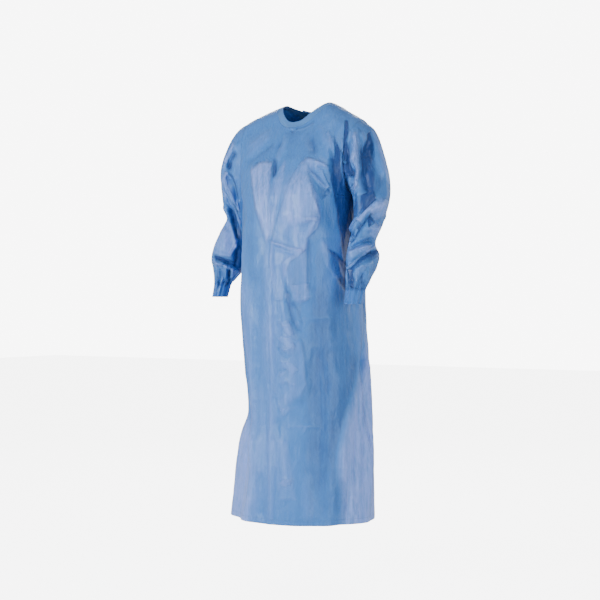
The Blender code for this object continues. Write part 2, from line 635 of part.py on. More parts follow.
def back_point(share, height):
    """Return a point of the back and its outward normal; positive shares are the wearer's left."""
    spot = skirt_point(1, share, height)
    beside = skirt_point(1, share + SLOPE_STEP, height)
    above = skirt_point(1, share, height + SLOPE_STEP)
    normal = np.cross(beside - spot, above - spot)
    normal = normal / np.linalg.norm(normal, axis=-1, keepdims=True)
    return spot, normal * np.sign(normal[..., 1:2])


def strap_rails(table):
    """Return a strap's four-cornered sections from rows of place, height, lift, width and wall."""
    tie = dict(zip(TIE_COLUMNS, np.array([row[1:] for row in table], dtype=float).T[..., None]))
    spot, normal = back_point(tie["share"][:, 0], tie["height"][:, 0])
    path = spot + normal * tie["lift"]
    across = np.cross(np.gradient(path, axis=0), normal)
    across = across / np.linalg.norm(across, axis=-1, keepdims=True) * tie["width"] / 2.0
    out = normal * tie["wall"]
    return np.stack([path - across, path + across, path + across + out, path - across + out], axis=1)


def make_material(name, colour, roughness):
    """Return a cloth material with the given colour and roughness."""
    material = bpy.data.materials.new(name)
    material.use_nodes = True
    shader = material.node_tree.nodes["Principled BSDF"]
    shader.inputs["Base Color"].default_value = colour
    shader.inputs["Roughness"].default_value = roughness
    shader.inputs["Metallic"].default_value = 0.0
    return material


def main():
    """Build every piece of the gown as its own object."""
    for thing in list(bpy.data.objects):
        bpy.data.objects.remove(thing, do_unlink=True)
    gown = bpy.data.collections.new("isolation_gown")
    bpy.context.scene.collection.children.link(gown)

    half = column_shares()
    front_shares = np.concatenate([-half[:0:-1], half])
    lap_shares = np.linspace(0.0, -LAP_SHARE, LAP_STEPS + 1)[1:]
    left_shares = np.concatenate([half[::-1], lap_shares])
    front = body_grid(-1, front_shares, np.zeros_like(front_shares))
    back_left = body_grid(1, left_shares, lap_lift(left_shares))
    back_right = body_grid(1, -left_shares, np.zeros_like(left_shares))
    holes = {
        "left": np.concatenate([front[SKIRT_ROWS:, -1], back_left[SKIRT_ROWS + 1:-1, 0][::-1]]),
        "right": np.concatenate([front[SKIRT_ROWS:, 0], back_right[SKIRT_ROWS + 1:-1, 0][::-1]]),
    }
    sleeve_left = sleeve_grid(SLEEVE_SECTIONS_LEFT, SLEEVE_FOLDS_LEFT, 1.0, holes["left"])
    sleeve_right = sleeve_grid(SLEEVE_SECTIONS_RIGHT, SLEEVE_FOLDS_RIGHT, -1.0, holes["right"])
    pieces = (
        ("front_panel", front, False),
        ("back_left", back_left, False),
        ("back_right", back_right, False),
        ("sleeve_left", sleeve_left, True),
        ("sleeve_right", sleeve_right, True),
        ("cuff_left", cuff_grid(1.0, CUFF_DRIFT_LEFT, sleeve_left[-1]), True),
        ("cuff_right", cuff_grid(-1.0, CUFF_DRIFT_RIGHT, sleeve_right[-1]), True),
        ("neck_binding", binding_grid(front, back_left, back_right), False),
    )
    normals = weld_normals([grid for _, grid, _ in pieces], [ring for _, _, ring in pieces])
    for (name, grid, ring), normal in zip(pieces, normals):
        bound = name == "neck_binding"
        colour, roughness = (BINDING_BLUE, BINDING_ROUGHNESS) if bound else (CLOTH_BLUE, CLOTH_ROUGHNESS)
        material = make_material(name, colour, roughness)
        extra = BINDING_EXTRA if bound else 0.0
        drawn = grid + seam_steps(grid, normal, ring)
        add_wall(gown, name, drawn + normal * extra, drawn - normal * (WALL + extra), ring, material)

    for name, table in (("tie_left", TIE_LEFT), ("tie_right", TIE_RIGHT)):
        add_band(gown, name, strap_rails(table), make_material(name, TIE_BLUE, TIE_ROUGHNESS))
    add_band(gown, "neck_tab", tab_rails(), make_material("neck_tab", BINDING_BLUE, TAB_ROUGHNESS))


main()
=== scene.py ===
"""Isolation gown in its empty form, shaped as when put on: the cloth, its seams and the studio it stands in.

Each piece of cloth is a thin wall laid on the form of its solid. The form comes from the same section
tables as the solids, sampled more finely; the creases of the cloth are drawn on it from tables, in
millimetres on a plane that faces one of four viewing directions, and a fine crumple covers the rest.
Light and shade are also painted into the cloth's colour: paler on ridges, darker in hollows, and in drawn
patches of painted highlight and painted shade.
"""

from __future__ import annotations

import logging
import math
from dataclasses import dataclass, field
from enum import Enum

import bpy
import numpy as np
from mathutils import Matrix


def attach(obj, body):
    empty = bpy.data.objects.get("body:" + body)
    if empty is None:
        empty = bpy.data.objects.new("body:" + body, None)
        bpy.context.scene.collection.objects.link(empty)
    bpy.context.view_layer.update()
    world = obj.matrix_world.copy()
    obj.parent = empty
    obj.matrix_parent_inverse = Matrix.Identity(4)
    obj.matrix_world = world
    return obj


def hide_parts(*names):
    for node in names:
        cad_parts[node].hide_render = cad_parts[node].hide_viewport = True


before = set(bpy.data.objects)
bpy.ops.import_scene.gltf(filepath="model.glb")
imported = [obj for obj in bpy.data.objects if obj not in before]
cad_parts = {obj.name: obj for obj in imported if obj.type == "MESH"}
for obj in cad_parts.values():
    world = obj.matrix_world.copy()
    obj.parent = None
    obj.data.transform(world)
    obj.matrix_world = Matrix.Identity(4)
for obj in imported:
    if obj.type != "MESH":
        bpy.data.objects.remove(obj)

logging.basicConfig(level=logging.INFO, format="%(message)s")
LOG = logging.getLogger("gown")

Array = np.ndarray

MILLIMETRE = 0.001
DRAWN = np.array([MILLIMETRE, -MILLIMETRE])
TINY = 1e-12
SHARE_SLACK = 1e-6


class Facing(Enum):
    """Which half of the body a panel covers."""

    FRONT = -1
    BACK = 1


class Profile(Enum):
    """The shape of a crease across its line: a soft roll, a crisp ridge or a step."""

    SOFT = "soft"
    CRISP = "crisp"
    STEP = "step"


class Group(Enum):
    """The cloth that a crease is drawn on."""

    BODY = "body"
    SLEEVE_LEFT = "sleeve_left"
    SLEEVE_RIGHT = "sleeve_right"


@dataclass(frozen=True)
class Cloth:
    """Sizes of the cloth and of the steps its grids are made with."""

    wall: float = 0.0009
    seam_gap: float = 0.00004
    seam_y: float = 0.015
    neck_steps: int = 28
    lap_steps: int = 12
    shoulder_steps: int = 46
    armhole_steps: int = 70
    skirt_rows: int = 250
    sleeve_steps: int = 18
    cuff_rows: int = 18
    binding_rows: int = 10
    neck_share: float = 0.320
    lap_lift: float = 0.0075
    lap_ramp: float = 1.15
    binding_extra: float = 0.0004
    normal_step: float = 0.001
    weld: float = 0.000002
    axis_drop: float = 0.05

    @property
    def lap_share(self) -> float:
        """Return how far past the middle of the back each back panel runs, as a share of its width."""
        return self.neck_share * self.lap_steps / self.neck_steps


@dataclass(frozen=True)
class Yoke:
    """Sizes of the shoulder ridge, the armholes and the neck."""

    neck_opening: tuple[float, float, float] = (0.0765, 0.080, 0.050)
    neck_seam: tuple[float, float, float] = (0.0945, 0.0905, 0.067)
    ridge_height: float = 0.020
    ridge_fall_left: float = 1.6
    ridge_fall_right: float = 1.3
    underarm_z: float = -0.290
    armhole_inset: float = 0.003
    armhole_front: float = 0.098
    armhole_back: float = 0.075
    underarm_x: float = 0.172
    shoulder_x: float = 0.190
    shoulder_z_left: float = -0.062
    shoulder_z_right: float = -0.036
    chest_slope: float = 1.27
    ridge_rounding: float = 0.25
    rounding_start: float = 0.7
    back_slope: float = 1.75
    climb_evenness: float = 0.35
    square_loss: float = 0.8
    neck_search_floor: float = 0.30
    halvings: int = 40


@dataclass(frozen=True)
class Fades:
    """Where folds and creases fade out, and the sizes of the gathers and the cuffs."""

    fold_top: float = 0.22
    fold_foot: float = 0.12
    yoke_end: float = 0.8
    yoke_edge_rise: float = 0.15
    edge_share: float = 0.25
    sleeve_start: float = 0.8
    armhole_stations: float = 3.0
    gather_stations: float = 2.4
    gather_flutes: int = 12
    gather_depth: float = 0.0030
    cuff_flute_depth: float = 0.0014
    cuff_flute_start: float = 0.3
    cuff_length: float = 0.046
    cuff_shrink: float = 0.94
    crease_yoke_rise: float = 0.05
    crease_edge_share: float = 0.10
    crease_armhole: float = 0.7
    crease_wrist: float = 0.5


CLOTH = Cloth()
YOKE = Yoke()
FADES = Fades()

# Sections of the body, hem first, in metres; square is the exponent of rounded_unit
BODY_COLUMNS = ("height", "half_width", "front", "back", "shift", "square")
BODY_SECTIONS = (
    ("hem", -1.243, 0.214, 0.190, 0.165, -0.006, 2.2),
    ("shin", -1.090, 0.202, 0.182, 0.163, 0.004, 2.2),
    ("knee", -0.930, 0.184, 0.174, 0.160, 0.011, 2.3),
    ("thigh", -0.780, 0.182, 0.180, 0.155, 0.002, 2.4),
    ("hip", -0.620, 0.180, 0.186, 0.150, -0.006, 2.6),
    ("waist", -0.450, 0.170, 0.186, 0.138, -0.003, 2.9),
    ("underarm", -0.290, 0.172, 0.178, 0.138, 0.000, 3.0),
)
# Folds of the body: angles in degrees from the middle of the front, heights in metres
FOLD_COLUMNS = ("top_angle", "top", "foot_angle", "foot", "half_angle", "height")
BODY_FOLDS = (
    ("centre crease", 0.0, -0.34, 0.0, -1.30, 3.0, 0.0035),
    ("chest hollow", 16.0, -0.14, 22.0, -0.44, 7.0, -0.0060),
    ("chest ridge", 31.0, -0.16, 38.0, -0.48, 7.0, 0.0055),
    ("right chest ridge", -20.0, -0.15, -16.0, -0.50, 8.0, 0.0040),
    ("waist hollow", 40.0, -0.34, 30.0, -0.64, 7.0, -0.0075),
    ("waist ridge", 24.0, -0.38, 14.0, -0.74, 7.0, 0.0060),
    ("left front hollow", 42.0, -0.62, 34.0, -1.30, 11.0, -0.0080),
    ("left side hollow", 102.0, -0.66, 58.0, -1.24, 8.0, -0.0110),
    ("left side ridge", 116.0, -0.66, 78.0, -1.30, 9.0, 0.0100),
    ("right front ridge", -26.0, -0.58, -24.0, -1.30, 9.0, 0.0060),
    ("right front hollow", -44.0, -0.55, -42.0, -1.30, 8.0, -0.0080),
    ("right hem flare", -60.0, -0.92, -64.0, -1.34, 12.0, 0.0150),
    ("left back hollow", 136.0, -0.50, 134.0, -1.30, 10.0, -0.0080),
    ("left back ridge", 154.0, -0.46, 158.0, -1.30, 9.0, 0.0060),
    ("right back ridge", -112.0, -0.55, -118.0, -1.30, 11.0, 0.0090),
    ("right back hollow", -138.0, -0.48, -142.0, -1.30, 10.0, -0.0080),
)
# Sections of the sleeves, armhole first, in metres
SLEEVE_COLUMNS = ("inner_x", "inner_z", "outer_x", "outer_z", "middle", "front", "back")
SLEEVE_SECTIONS_LEFT = (
    ("armhole", 0.172, -0.290, 0.190, -0.062, 0.015, 0.098, 0.075),
    ("cap", 0.181, -0.297, 0.221, -0.090, 0.010, 0.094, 0.075),
    ("shoulder", 0.183, -0.306, 0.242, -0.128, 0.004, 0.086, 0.073),
    ("upper arm", 0.184, -0.320, 0.260, -0.177, 0.000, 0.079, 0.070),
    ("biceps", 0.184, -0.337, 0.279, -0.235, -0.006, 0.073, 0.068),
    ("elbow", 0.184, -0.360, 0.281, -0.300, -0.009, 0.069, 0.066),
    ("below elbow", 0.184, -0.388, 0.268, -0.360, -0.024, 0.062, 0.060),
    ("notch", 0.188, -0.430, 0.257, -0.424, -0.050, 0.051, 0.050),
    ("bulge", 0.185, -0.466, 0.273, -0.462, -0.057, 0.057, 0.056),
    ("lower", 0.188, -0.502, 0.269, -0.502, -0.067, 0.051, 0.051),
    ("gather", 0.194, -0.537, 0.256, -0.540, -0.082, 0.040, 0.040),
    ("wrist", 0.199, -0.556, 0.251, -0.558, -0.092, 0.032, 0.031),
)
SLEEVE_SECTIONS_RIGHT = (
    ("armhole", 0.172, -0.290, 0.190, -0.036, 0.015, 0.098, 0.075),
    ("cap", 0.181, -0.297, 0.237, -0.062, 0.012, 0.094, 0.075),
    ("shoulder", 0.183, -0.306, 0.268, -0.110, 0.008, 0.086, 0.073),
    ("upper arm", 0.184, -0.319, 0.293, -0.165, 0.008, 0.079, 0.070),
    ("biceps", 0.184, -0.335, 0.297, -0.228, 0.010, 0.073, 0.068),
    ("elbow", 0.184, -0.356, 0.291, -0.296, 0.010, 0.068, 0.066),
    ("crook", 0.184, -0.378, 0.277, -0.336, 0.004, 0.062, 0.062),
    ("forearm", 0.190, -0.412, 0.298, -0.395, -0.016, 0.058, 0.057),
    ("bulge", 0.202, -0.462, 0.312, -0.455, -0.034, 0.055, 0.054),
    ("lower", 0.214, -0.495, 0.308, -0.491, -0.034, 0.050, 0.050),
    ("gather", 0.234, -0.521, 0.300, -0.519, -0.040, 0.039, 0.039),
    ("wrist", 0.248, -0.537, 0.295, -0.536, -0.047, 0.031, 0.031),
)
# Folds of the sleeves: stations count sections from the armhole, turns are degrees from the underarm
SLEEVE_FOLD_COLUMNS = ("station", "turn", "drift", "half_length", "half_turn", "height")
SLEEVE_FOLDS_LEFT = (
    ("shoulder hollow", 2.6, 148.0, 4.0, 1.8, 15.0, -0.0110),
    ("outer ridge", 3.2, 182.0, -4.0, 2.0, 15.0, 0.0050),
    ("front ridge", 2.3, 112.0, 10.0, 1.6, 15.0, 0.0070),
    ("elbow cross fold", 5.4, 100.0, -42.0, 0.8, 17.0, -0.0090),
    ("elbow ridge", 6.1, 118.0, -30.0, 0.7, 17.0, 0.0060),
    ("elbow back fold", 5.4, 232.0, 26.0, 0.8, 22.0, -0.0070),
    ("forearm fold", 7.6, 112.0, 24.0, 0.6, 18.0, -0.0060),
    ("forearm ridge", 8.4, 100.0, 20.0, 0.6, 18.0, 0.0050),
    ("back hollow", 3.0, 262.0, 8.0, 1.8, 17.0, -0.0070),
)
SLEEVE_FOLDS_RIGHT = (
    ("shoulder hollow", 2.6, 96.0, -8.0, 1.7, 15.0, -0.0090),
    ("outer ridge", 3.0, 128.0, -4.0, 1.8, 15.0, 0.0050),
    ("elbow cross fold", 5.8, 86.0, 34.0, 0.8, 17.0, -0.0100),
    ("forearm facet", 7.4, 118.0, -14.0, 0.9, 18.0, 0.0060),
    ("cross crease", 8.7, 76.0, 30.0, 0.5, 17.0, -0.0060),
    ("elbow back fold", 5.6, 226.0, -24.0, 0.8, 22.0, -0.0070),
    ("back hollow", 3.0, 262.0, 8.0, 1.8, 17.0, -0.0070),
)
# How far the open end of each cuff lies outward and backward of the sleeve's end
CUFF_DRIFT_LEFT = (0.001, -0.018)
CUFF_DRIFT_RIGHT = (0.006, -0.010)


def smoothstep(value: Array | float) -> Array:
    """Ease a value from 0 to 1.

    Args:
        value: Numbers of any range.

    Returns:
        3v^2 - 2v^3 of the value held between 0 and 1.
    """
    held = np.clip(value, 0.0, 1.0)
    return held * held * (3.0 - 2.0 * held)


def named(columns: tuple[str, ...], row: tuple) -> dict[str, float]:
    """Pair one table row's numbers with their column names.

    Args:
        columns: The names of the numbers, in order.
        row: A name, then the numbers.

    Returns:
        The numbers by column name.
    """
    return dict(zip(columns, row[1:], strict=True))


def unit(vectors: Array) -> Array:
    """Scale vectors to length one.

    Args:
        vectors: Vectors along the last axis.

    Returns:
        The vectors divided by their lengths.
    """
    return vectors / np.maximum(np.linalg.norm(vectors, axis=-1, keepdims=True), TINY)


def spline_rows(rows: tuple, at: Array) -> Array:
    """Run a Catmull-Rom curve through a table's number columns.

    Args:
        rows: Table rows, each a name and its numbers.
        at: Fractional row places.

    Returns:
        The columns at those places, along a new last axis.
    """
    values = np.array([row[1:] for row in rows], dtype=float)
    last = len(values) - 1
    at = np.clip(np.asarray(at, dtype=float), 0.0, last)
    low = np.minimum(np.floor(at).astype(int), last - 1)
    part = (at - low)[..., None]
    before = values[np.maximum(low - 1, 0)]
    start = values[low]
    end = values[low + 1]
    after = values[np.minimum(low + 2, last)]
    slope_start = (end - before) / 2.0
    slope_end = (after - start) / 2.0
    cubed = part**3
    squared = part**2
    return (
        (2.0 * cubed - 3.0 * squared + 1.0) * start
        + (cubed - 2.0 * squared + part) * slope_start
        + (3.0 * squared - 2.0 * cubed) * end
        + (cubed - squared) * slope_end
    )


def rounded_unit(angle: Array, square: Array | float) -> tuple[Array, Array]:
    """Find a rounded section's side and front shares at an angle.

    Args:
        angle: Angle from the middle of the front, in radians.
        square: Exponent of the section; 2 is a circle and more is squarer.

    Returns:
        sin and cos of the angle, each divided by (|sin|^n + |cos|^n)^(1/n).
    """
    side = np.sin(angle)
    front = np.cos(angle)
    reach = (np.abs(side) ** square + np.abs(front) ** square) ** (1.0 / square)
    return side / reach, front / reach


def outward_normals(grid: Array, ring: bool) -> Array:
    """Find unit normals that face away from the middle of what a grid wraps.

    Args:
        grid: Points in rows and columns.
        ring: Whether each row closes on itself.

    Returns:
        One normal a point, from the faces that meet there.
    """
    wide = np.concatenate([grid, grid[:, :1]], axis=1) if ring else grid
    face = unit(np.cross(wide[1:, 1:] - wide[:-1, :-1], wide[1:, :-1] - wide[:-1, 1:]))
    normal = np.zeros_like(wide)
    for rows in (slice(None, -1), slice(1, None)):
        for columns in (slice(None, -1), slice(1, None)):
            normal[rows, columns] += face
    if ring:
        normal[:, 0] += normal[:, -1]
        normal = normal[:, :-1]
        middle = grid.mean(axis=1, keepdims=True)
    else:
        # The axis at each point's height, a little lower so that the shoulders count as facing up from it
        middle = grid * np.array([0.0, 0.0, 1.0]) + np.array([0.0, CLOTH.seam_y, -CLOTH.axis_drop])
    normal = unit(normal)
    return normal * math.copysign(1.0, float((normal * (grid - middle)).sum()))


@dataclass(frozen=True)
class BodyForm:
    """The form of the gown's body: its section table, its fold table and the yoke above them."""

    sections: tuple = BODY_SECTIONS
    folds: tuple = BODY_FOLDS
    section_samples: int = 241

    def section_at(self, height: Array) -> dict[str, Array]:
        """Look up the body section at each height.

        Args:
            height: Heights in metres.

        Returns:
            The section's numbers by column name.
        """
        places = np.linspace(0.0, len(self.sections) - 1, self.section_samples)
        dense = spline_rows(self.sections, places).T
        return {name: np.interp(height, dense[0], column) for name, column in zip(BODY_COLUMNS, dense)}

    def fold_height(self, angle: Array, height: Array) -> Array:
        """Sum the body folds: each is a Gaussian ridge along a straight line of the table.

        Args:
            angle: Angles round the body in degrees.
            height: Heights in metres.

        Returns:
            How far the cloth moves out, in metres.
        """
        total = np.zeros(np.broadcast(angle, height).shape)
        for row in self.folds:
            fold = named(FOLD_COLUMNS, row)
            along = (fold["top"] - height) / (fold["top"] - fold["foot"])
            line = fold["top_angle"] + (fold["foot_angle"] - fold["top_angle"]) * along
            off = (angle - line + 180.0) % 360.0 - 180.0
            ends = smoothstep(along / FADES.fold_top) * smoothstep((1.0 - along) / FADES.fold_foot + 1.0)
            total += fold["height"] * np.exp(-((off / fold["half_angle"]) ** 2)) * ends
        return total

    def skirt_point(self, facing: Facing, share: Array, height: Array) -> Array:
        """Place points of the body below the underarm.

        Args:
            facing: The half of the body.
            share: Place across the half, from -1 to 1.
            height: Heights in metres.

        Returns:
            The points.
        """
        share, height = np.broadcast_arrays(share, height)
        section = self.section_at(height)
        side, ahead = rounded_unit(share * math.pi / 2.0, section["square"])
        front = facing is Facing.FRONT
        depth = section["front"] + CLOTH.seam_y if front else section["back"] - CLOTH.seam_y
        rise = self.fold_height(self.fold_angle(facing, share), height)
        x = section["shift"] + (section["half_width"] + rise) * side
        y = CLOTH.seam_y + facing.value * (depth + rise) * ahead
        return np.stack([x, y, height], axis=-1)

    @staticmethod
    def fold_angle(facing: Facing, share: Array) -> Array:
        """Turn a share of a half into the angle round the body.

        Args:
            facing: The half of the body.
            share: Place across the half, from -1 to 1.

        Returns:
            Degrees from the middle of the front.
        """
        turned = share * 90.0
        return turned if facing is Facing.FRONT else 180.0 - turned

    @staticmethod
    def edge_reach(up: Array) -> Array:
        """Find the armhole edge's distance from the middle plane.

        Args:
            up: Share of the yoke's height.

        Returns:
            Distances in metres.
        """
        rise = (1.0 - np.cos(math.pi * up)) / 2.0
        reach = YOKE.underarm_x + (YOKE.shoulder_x - YOKE.underarm_x) * rise
        return reach - YOKE.armhole_inset * np.sin(math.pi * up)

    def yoke_point(self, facing: Facing, across: Array, up: Array) -> Array:
        """Place points of the body above the underarm.

        Args:
            facing: The half of the body.
            across: Share of the half width, signed.
            up: 0 at the underarm, 1 at the shoulder ridge.

        Returns:
            The points.
        """
        across, up = np.broadcast_arrays(np.asarray(across, dtype=float), np.asarray(up, dtype=float))
        front = facing is Facing.FRONT
        rise = (1.0 - np.cos(math.pi * up)) / 2.0
        edge_depth = (YOKE.armhole_front if front else YOKE.armhole_back) * np.sin(math.pi * up)
        shoulder_z = np.where(across > 0.0, YOKE.shoulder_z_left, YOKE.shoulder_z_right)
        edge_z = YOKE.underarm_z + (shoulder_z - YOKE.underarm_z) * rise
        climb = np.clip(YOKE.climb_evenness * up + (1.0 - YOKE.climb_evenness) * rise, 0.0, 1.0)
        underarm = named(BODY_COLUMNS, self.sections[-1])
        if front:
            full_depth = underarm["front"] + CLOTH.seam_y
            rounding = smoothstep((climb - YOKE.rounding_start) / (1.0 - YOKE.rounding_start))
            slope = YOKE.chest_slope + YOKE.ridge_rounding * rounding
        else:
            full_depth = underarm["back"] - CLOTH.seam_y
            slope = YOKE.back_slope
        middle_depth = full_depth * (1.0 - climb**slope) ** (1.0 / slope)
        middle_z = YOKE.underarm_z + (YOKE.ridge_height - YOKE.underarm_z) * climb
        square = underarm["square"] - YOKE.square_loss * up
        held = np.clip(np.abs(across), 0.0, 1.0)
        ahead = (1.0 - held**square) ** (1.0 / square)
        depth = edge_depth + (middle_depth - edge_depth) * ahead
        fall = np.where(across > 0.0, YOKE.ridge_fall_left, YOKE.ridge_fall_right)
        z = middle_z + (edge_z - middle_z) * held**fall
        return np.stack([self.edge_reach(up) * across, CLOTH.seam_y + facing.value * depth, z], axis=-1)

    def yoke_place(self, facing: Facing, x: Array, depth: Array) -> tuple[Array, Array]:
        """Find where on the yoke a point stands, by halving.

        Args:
            facing: The half of the body.
            x: Distances from the middle plane.
            depth: Distances from the seam plane.

        Returns:
            The across and up shares of the points.
        """
        low = np.full(np.shape(x), YOKE.neck_search_floor)
        high = np.full(np.shape(x), 1.0)
        for _ in range(YOKE.halvings):
            up = (low + high) / 2.0
            point = self.yoke_point(facing, x / self.edge_reach(up), up)
            reached = (point[..., 1] - CLOTH.seam_y) * facing.value
            low = np.where(reached > depth, up, low)
            high = np.where(reached > depth, high, up)
        up = (low + high) / 2.0
        return x / self.edge_reach(up), up

    def neck_points(self, facing: Facing, turn: Array, size: float) -> Array:
        """Place points of the yoke round the neck.

        Args:
            facing: The half of the body.
            turn: Angles from the middle of the half, in radians.
            size: 0 at the opening, 1 at the seam of the binding.

        Returns:
            The points.
        """
        both = zip(YOKE.neck_opening, YOKE.neck_seam)
        half_width, front, back = [opening + (seam - opening) * size for opening, seam in both]
        depth = (front if facing is Facing.FRONT else back) * np.cos(turn)
        across, up = self.yoke_place(facing, half_width * np.sin(turn), depth)
        return self.yoke_point(facing, across, up)

    def yoke_grid(self, facing: Facing, shares: Array) -> Array:
        """Grid the yoke from the underarm to the shoulder ridge and the neckline.

        Args:
            facing: The half of the body.
            shares: Column places, from -1 to 1.

        Returns:
            Rows of points, underarm first.
        """
        steps = np.linspace(0.0, 1.0, CLOTH.armhole_steps + 1)[:, None]
        half_width, front_depth, back_depth = YOKE.neck_seam
        turn = np.clip(shares / CLOTH.neck_share, -1.0, 1.0) * math.pi / 2.0
        neck_depth = (front_depth if facing is Facing.FRONT else back_depth) * np.cos(turn)
        neck_across, neck_up = self.yoke_place(facing, half_width * np.sin(turn), neck_depth)
        in_neck = np.abs(shares) < CLOTH.neck_share - SHARE_SLACK
        past = (np.abs(shares) - CLOTH.neck_share) / (1.0 - CLOTH.neck_share)
        neck_edge = half_width / YOKE.shoulder_x
        shoulder_across = np.sign(shares) * (neck_edge + (1.0 - neck_edge) * past)
        top_up = np.where(in_neck, neck_up, 1.0)
        top_across = np.where(in_neck, neck_across, shoulder_across)
        underarm = named(BODY_COLUMNS, self.sections[-1])
        low_across, _ = rounded_unit(shares * math.pi / 2.0, underarm["square"])
        across = low_across * (1.0 - steps**2) + top_across * steps**2
        return self.yoke_point(facing, across, steps * top_up)

    @staticmethod
    def crease_reach(grid: Array, shares: Array) -> Array:
        """Say how strongly creases show: beside the armhole they fade out.

        Args:
            grid: A panel's points.
            shares: Its column places, from -1 to 1.

        Returns:
            Shares from 0 to 1.
        """
        up = smoothstep((grid[..., 2] - YOKE.underarm_z) / FADES.crease_yoke_rise + 1.0)
        edge = smoothstep((1.0 - np.abs(shares)) / FADES.crease_edge_share)
        return 1.0 - up * (1.0 - edge)

    def panel(self, facing: Facing, shares: Array, lift: Array) -> Array:
        """Grid one panel from the hem to the neck.

        Args:
            facing: The half of the body.
            shares: Column places, from -1 to 1.
            lift: How far each column stands off the form.

        Returns:
            Rows of points, hem first.
        """
        hem = named(BODY_COLUMNS, self.sections[0])
        heights = np.linspace(hem["height"], YOKE.underarm_z, CLOTH.skirt_rows + 1)[:, None]
        skirt = self.skirt_point(facing, shares[None, :], heights)
        yoke = self.yoke_grid(facing, shares)
        up = np.linspace(0.0, 1.0, CLOTH.armhole_steps + 1)[:, None]
        side, ahead = rounded_unit(shares * math.pi / 2.0, 2.0)
        rise = self.fold_height(self.fold_angle(facing, shares), yoke[..., 2])
        inside = smoothstep((1.0 - np.abs(shares)) / FADES.edge_share)
        rise = rise * (1.0 - smoothstep(up / FADES.yoke_end))
        rise = rise * (1.0 - smoothstep(up / FADES.yoke_edge_rise) * (1.0 - inside))
        outward = np.stack([side, facing.value * ahead, np.zeros_like(side)], axis=-1)
        yoke = yoke + outward * rise[..., None]
        grid = np.concatenate([skirt, yoke[1:]], axis=0)
        return grid + outward_normals(grid, False) * lift[None, :, None]


@dataclass(frozen=True)
class SleeveForm:
    """The form of one sleeve and its cuff: a section table, a fold table and the side it is on."""

    sections: tuple
    folds: tuple
    sign: float
    cuff_drift: tuple[float, float]

    def stations(self) -> Array:
        """Return the table places of the sleeve's rings, as a column."""
        last = len(self.sections) - 1
        return np.linspace(0.0, last, last * CLOTH.sleeve_steps + 1)[:, None]

    @staticmethod
    def turns(count: int) -> Array:
        """Space the points of a ring.

        Args:
            count: Points in the ring.

        Returns:
            Angles in radians from the underarm to the front, and on round.
        """
        return np.linspace(0.0, 2.0 * math.pi, count + 1)[:-1]

    @staticmethod
    def ring_outward(grid: Array) -> Array:
        """Point from the middle of each ring to its points.

        Args:
            grid: Rings of points.

        Returns:
            Unit directions.
        """
        return unit(grid - grid.mean(axis=1, keepdims=True))

    def fold_height(self, station: Array, turn: Array) -> Array:
        """Sum the sleeve folds: each is a Gaussian patch that drifts round as it runs on.

        Args:
            station: Table places.
            turn: Angles in degrees.

        Returns:
            How far the cloth moves out, in metres.
        """
        total = np.zeros(np.broadcast(station, turn).shape)
        for row in self.folds:
            fold = named(SLEEVE_FOLD_COLUMNS, row)
            along = (station - fold["station"]) / fold["half_length"]
            off = (turn - fold["turn"] - fold["drift"] * along + 180.0) % 360.0 - 180.0
            total += fold["height"] * np.exp(-((off / fold["half_turn"]) ** 2) - along**2)
        return total * smoothstep(station / FADES.sleeve_start)

    def crease_reach(self) -> Array:
        """Return how strongly creases show on each ring: they fade out at the armhole and the wrist."""
        station = self.stations()
        start = smoothstep(station / FADES.crease_armhole)
        return start * smoothstep((station[-1] - station) / FADES.crease_wrist)

    def sleeve(self, ring: Array) -> Array:
        """Grid the sleeve from its armhole to the wrist.

        Args:
            ring: The armhole's own points.

        Returns:
            Rings of points.
        """
        station = self.stations()
        section = dict(zip(SLEEVE_COLUMNS, np.moveaxis(spline_rows(self.sections, station), -1, 0)))
        turn = self.turns(len(ring))[None, :]
        reach = (1.0 - np.cos(turn)) / 2.0
        depth = np.where(np.sin(turn) > 0.0, section["front"], section["back"]) * np.sin(turn)
        x = self.sign * (section["inner_x"] + (section["outer_x"] - section["inner_x"]) * reach)
        z = section["inner_z"] + (section["outer_z"] - section["inner_z"]) * reach
        grid = np.stack([x, section["middle"] - depth, z], axis=-1)
        fade = np.clip(1.0 - station / FADES.armhole_stations, 0.0, 1.0)[..., None] ** 2
        grid = grid + (ring - grid[0])[None] * fade
        rise = self.fold_height(station, np.degrees(turn))
        gathered = smoothstep((station - station[-1]) / FADES.gather_stations + 1.0)
        rise = rise + FADES.gather_depth * gathered * np.cos(turn * FADES.gather_flutes)
        return grid + self.ring_outward(grid) * rise[..., None]

    def cuff(self, ring: Array) -> Array:
        """Grid the cuff casing from the gathered end of the sleeve to its open end.

        Args:
            ring: The sleeve's last ring.

        Returns:
            Rings of points.
        """
        part = np.linspace(0.0, 1.0, CLOTH.cuff_rows)[:, None, None]
        turn = self.turns(len(ring))[None, :, None]
        drop = np.array([self.sign * self.cuff_drift[0], self.cuff_drift[1], -FADES.cuff_length])
        centre = ring.mean(axis=0)
        flute = np.cos(turn * FADES.gather_flutes) * smoothstep(part / FADES.cuff_flute_start)
        spread = (ring - centre) * (1.0 - (1.0 - FADES.cuff_shrink) * part)
        outward = self.ring_outward(ring[None])
        return centre + drop * part + spread + outward * flute * (
            FADES.cuff_flute_depth - FADES.gather_depth
        )


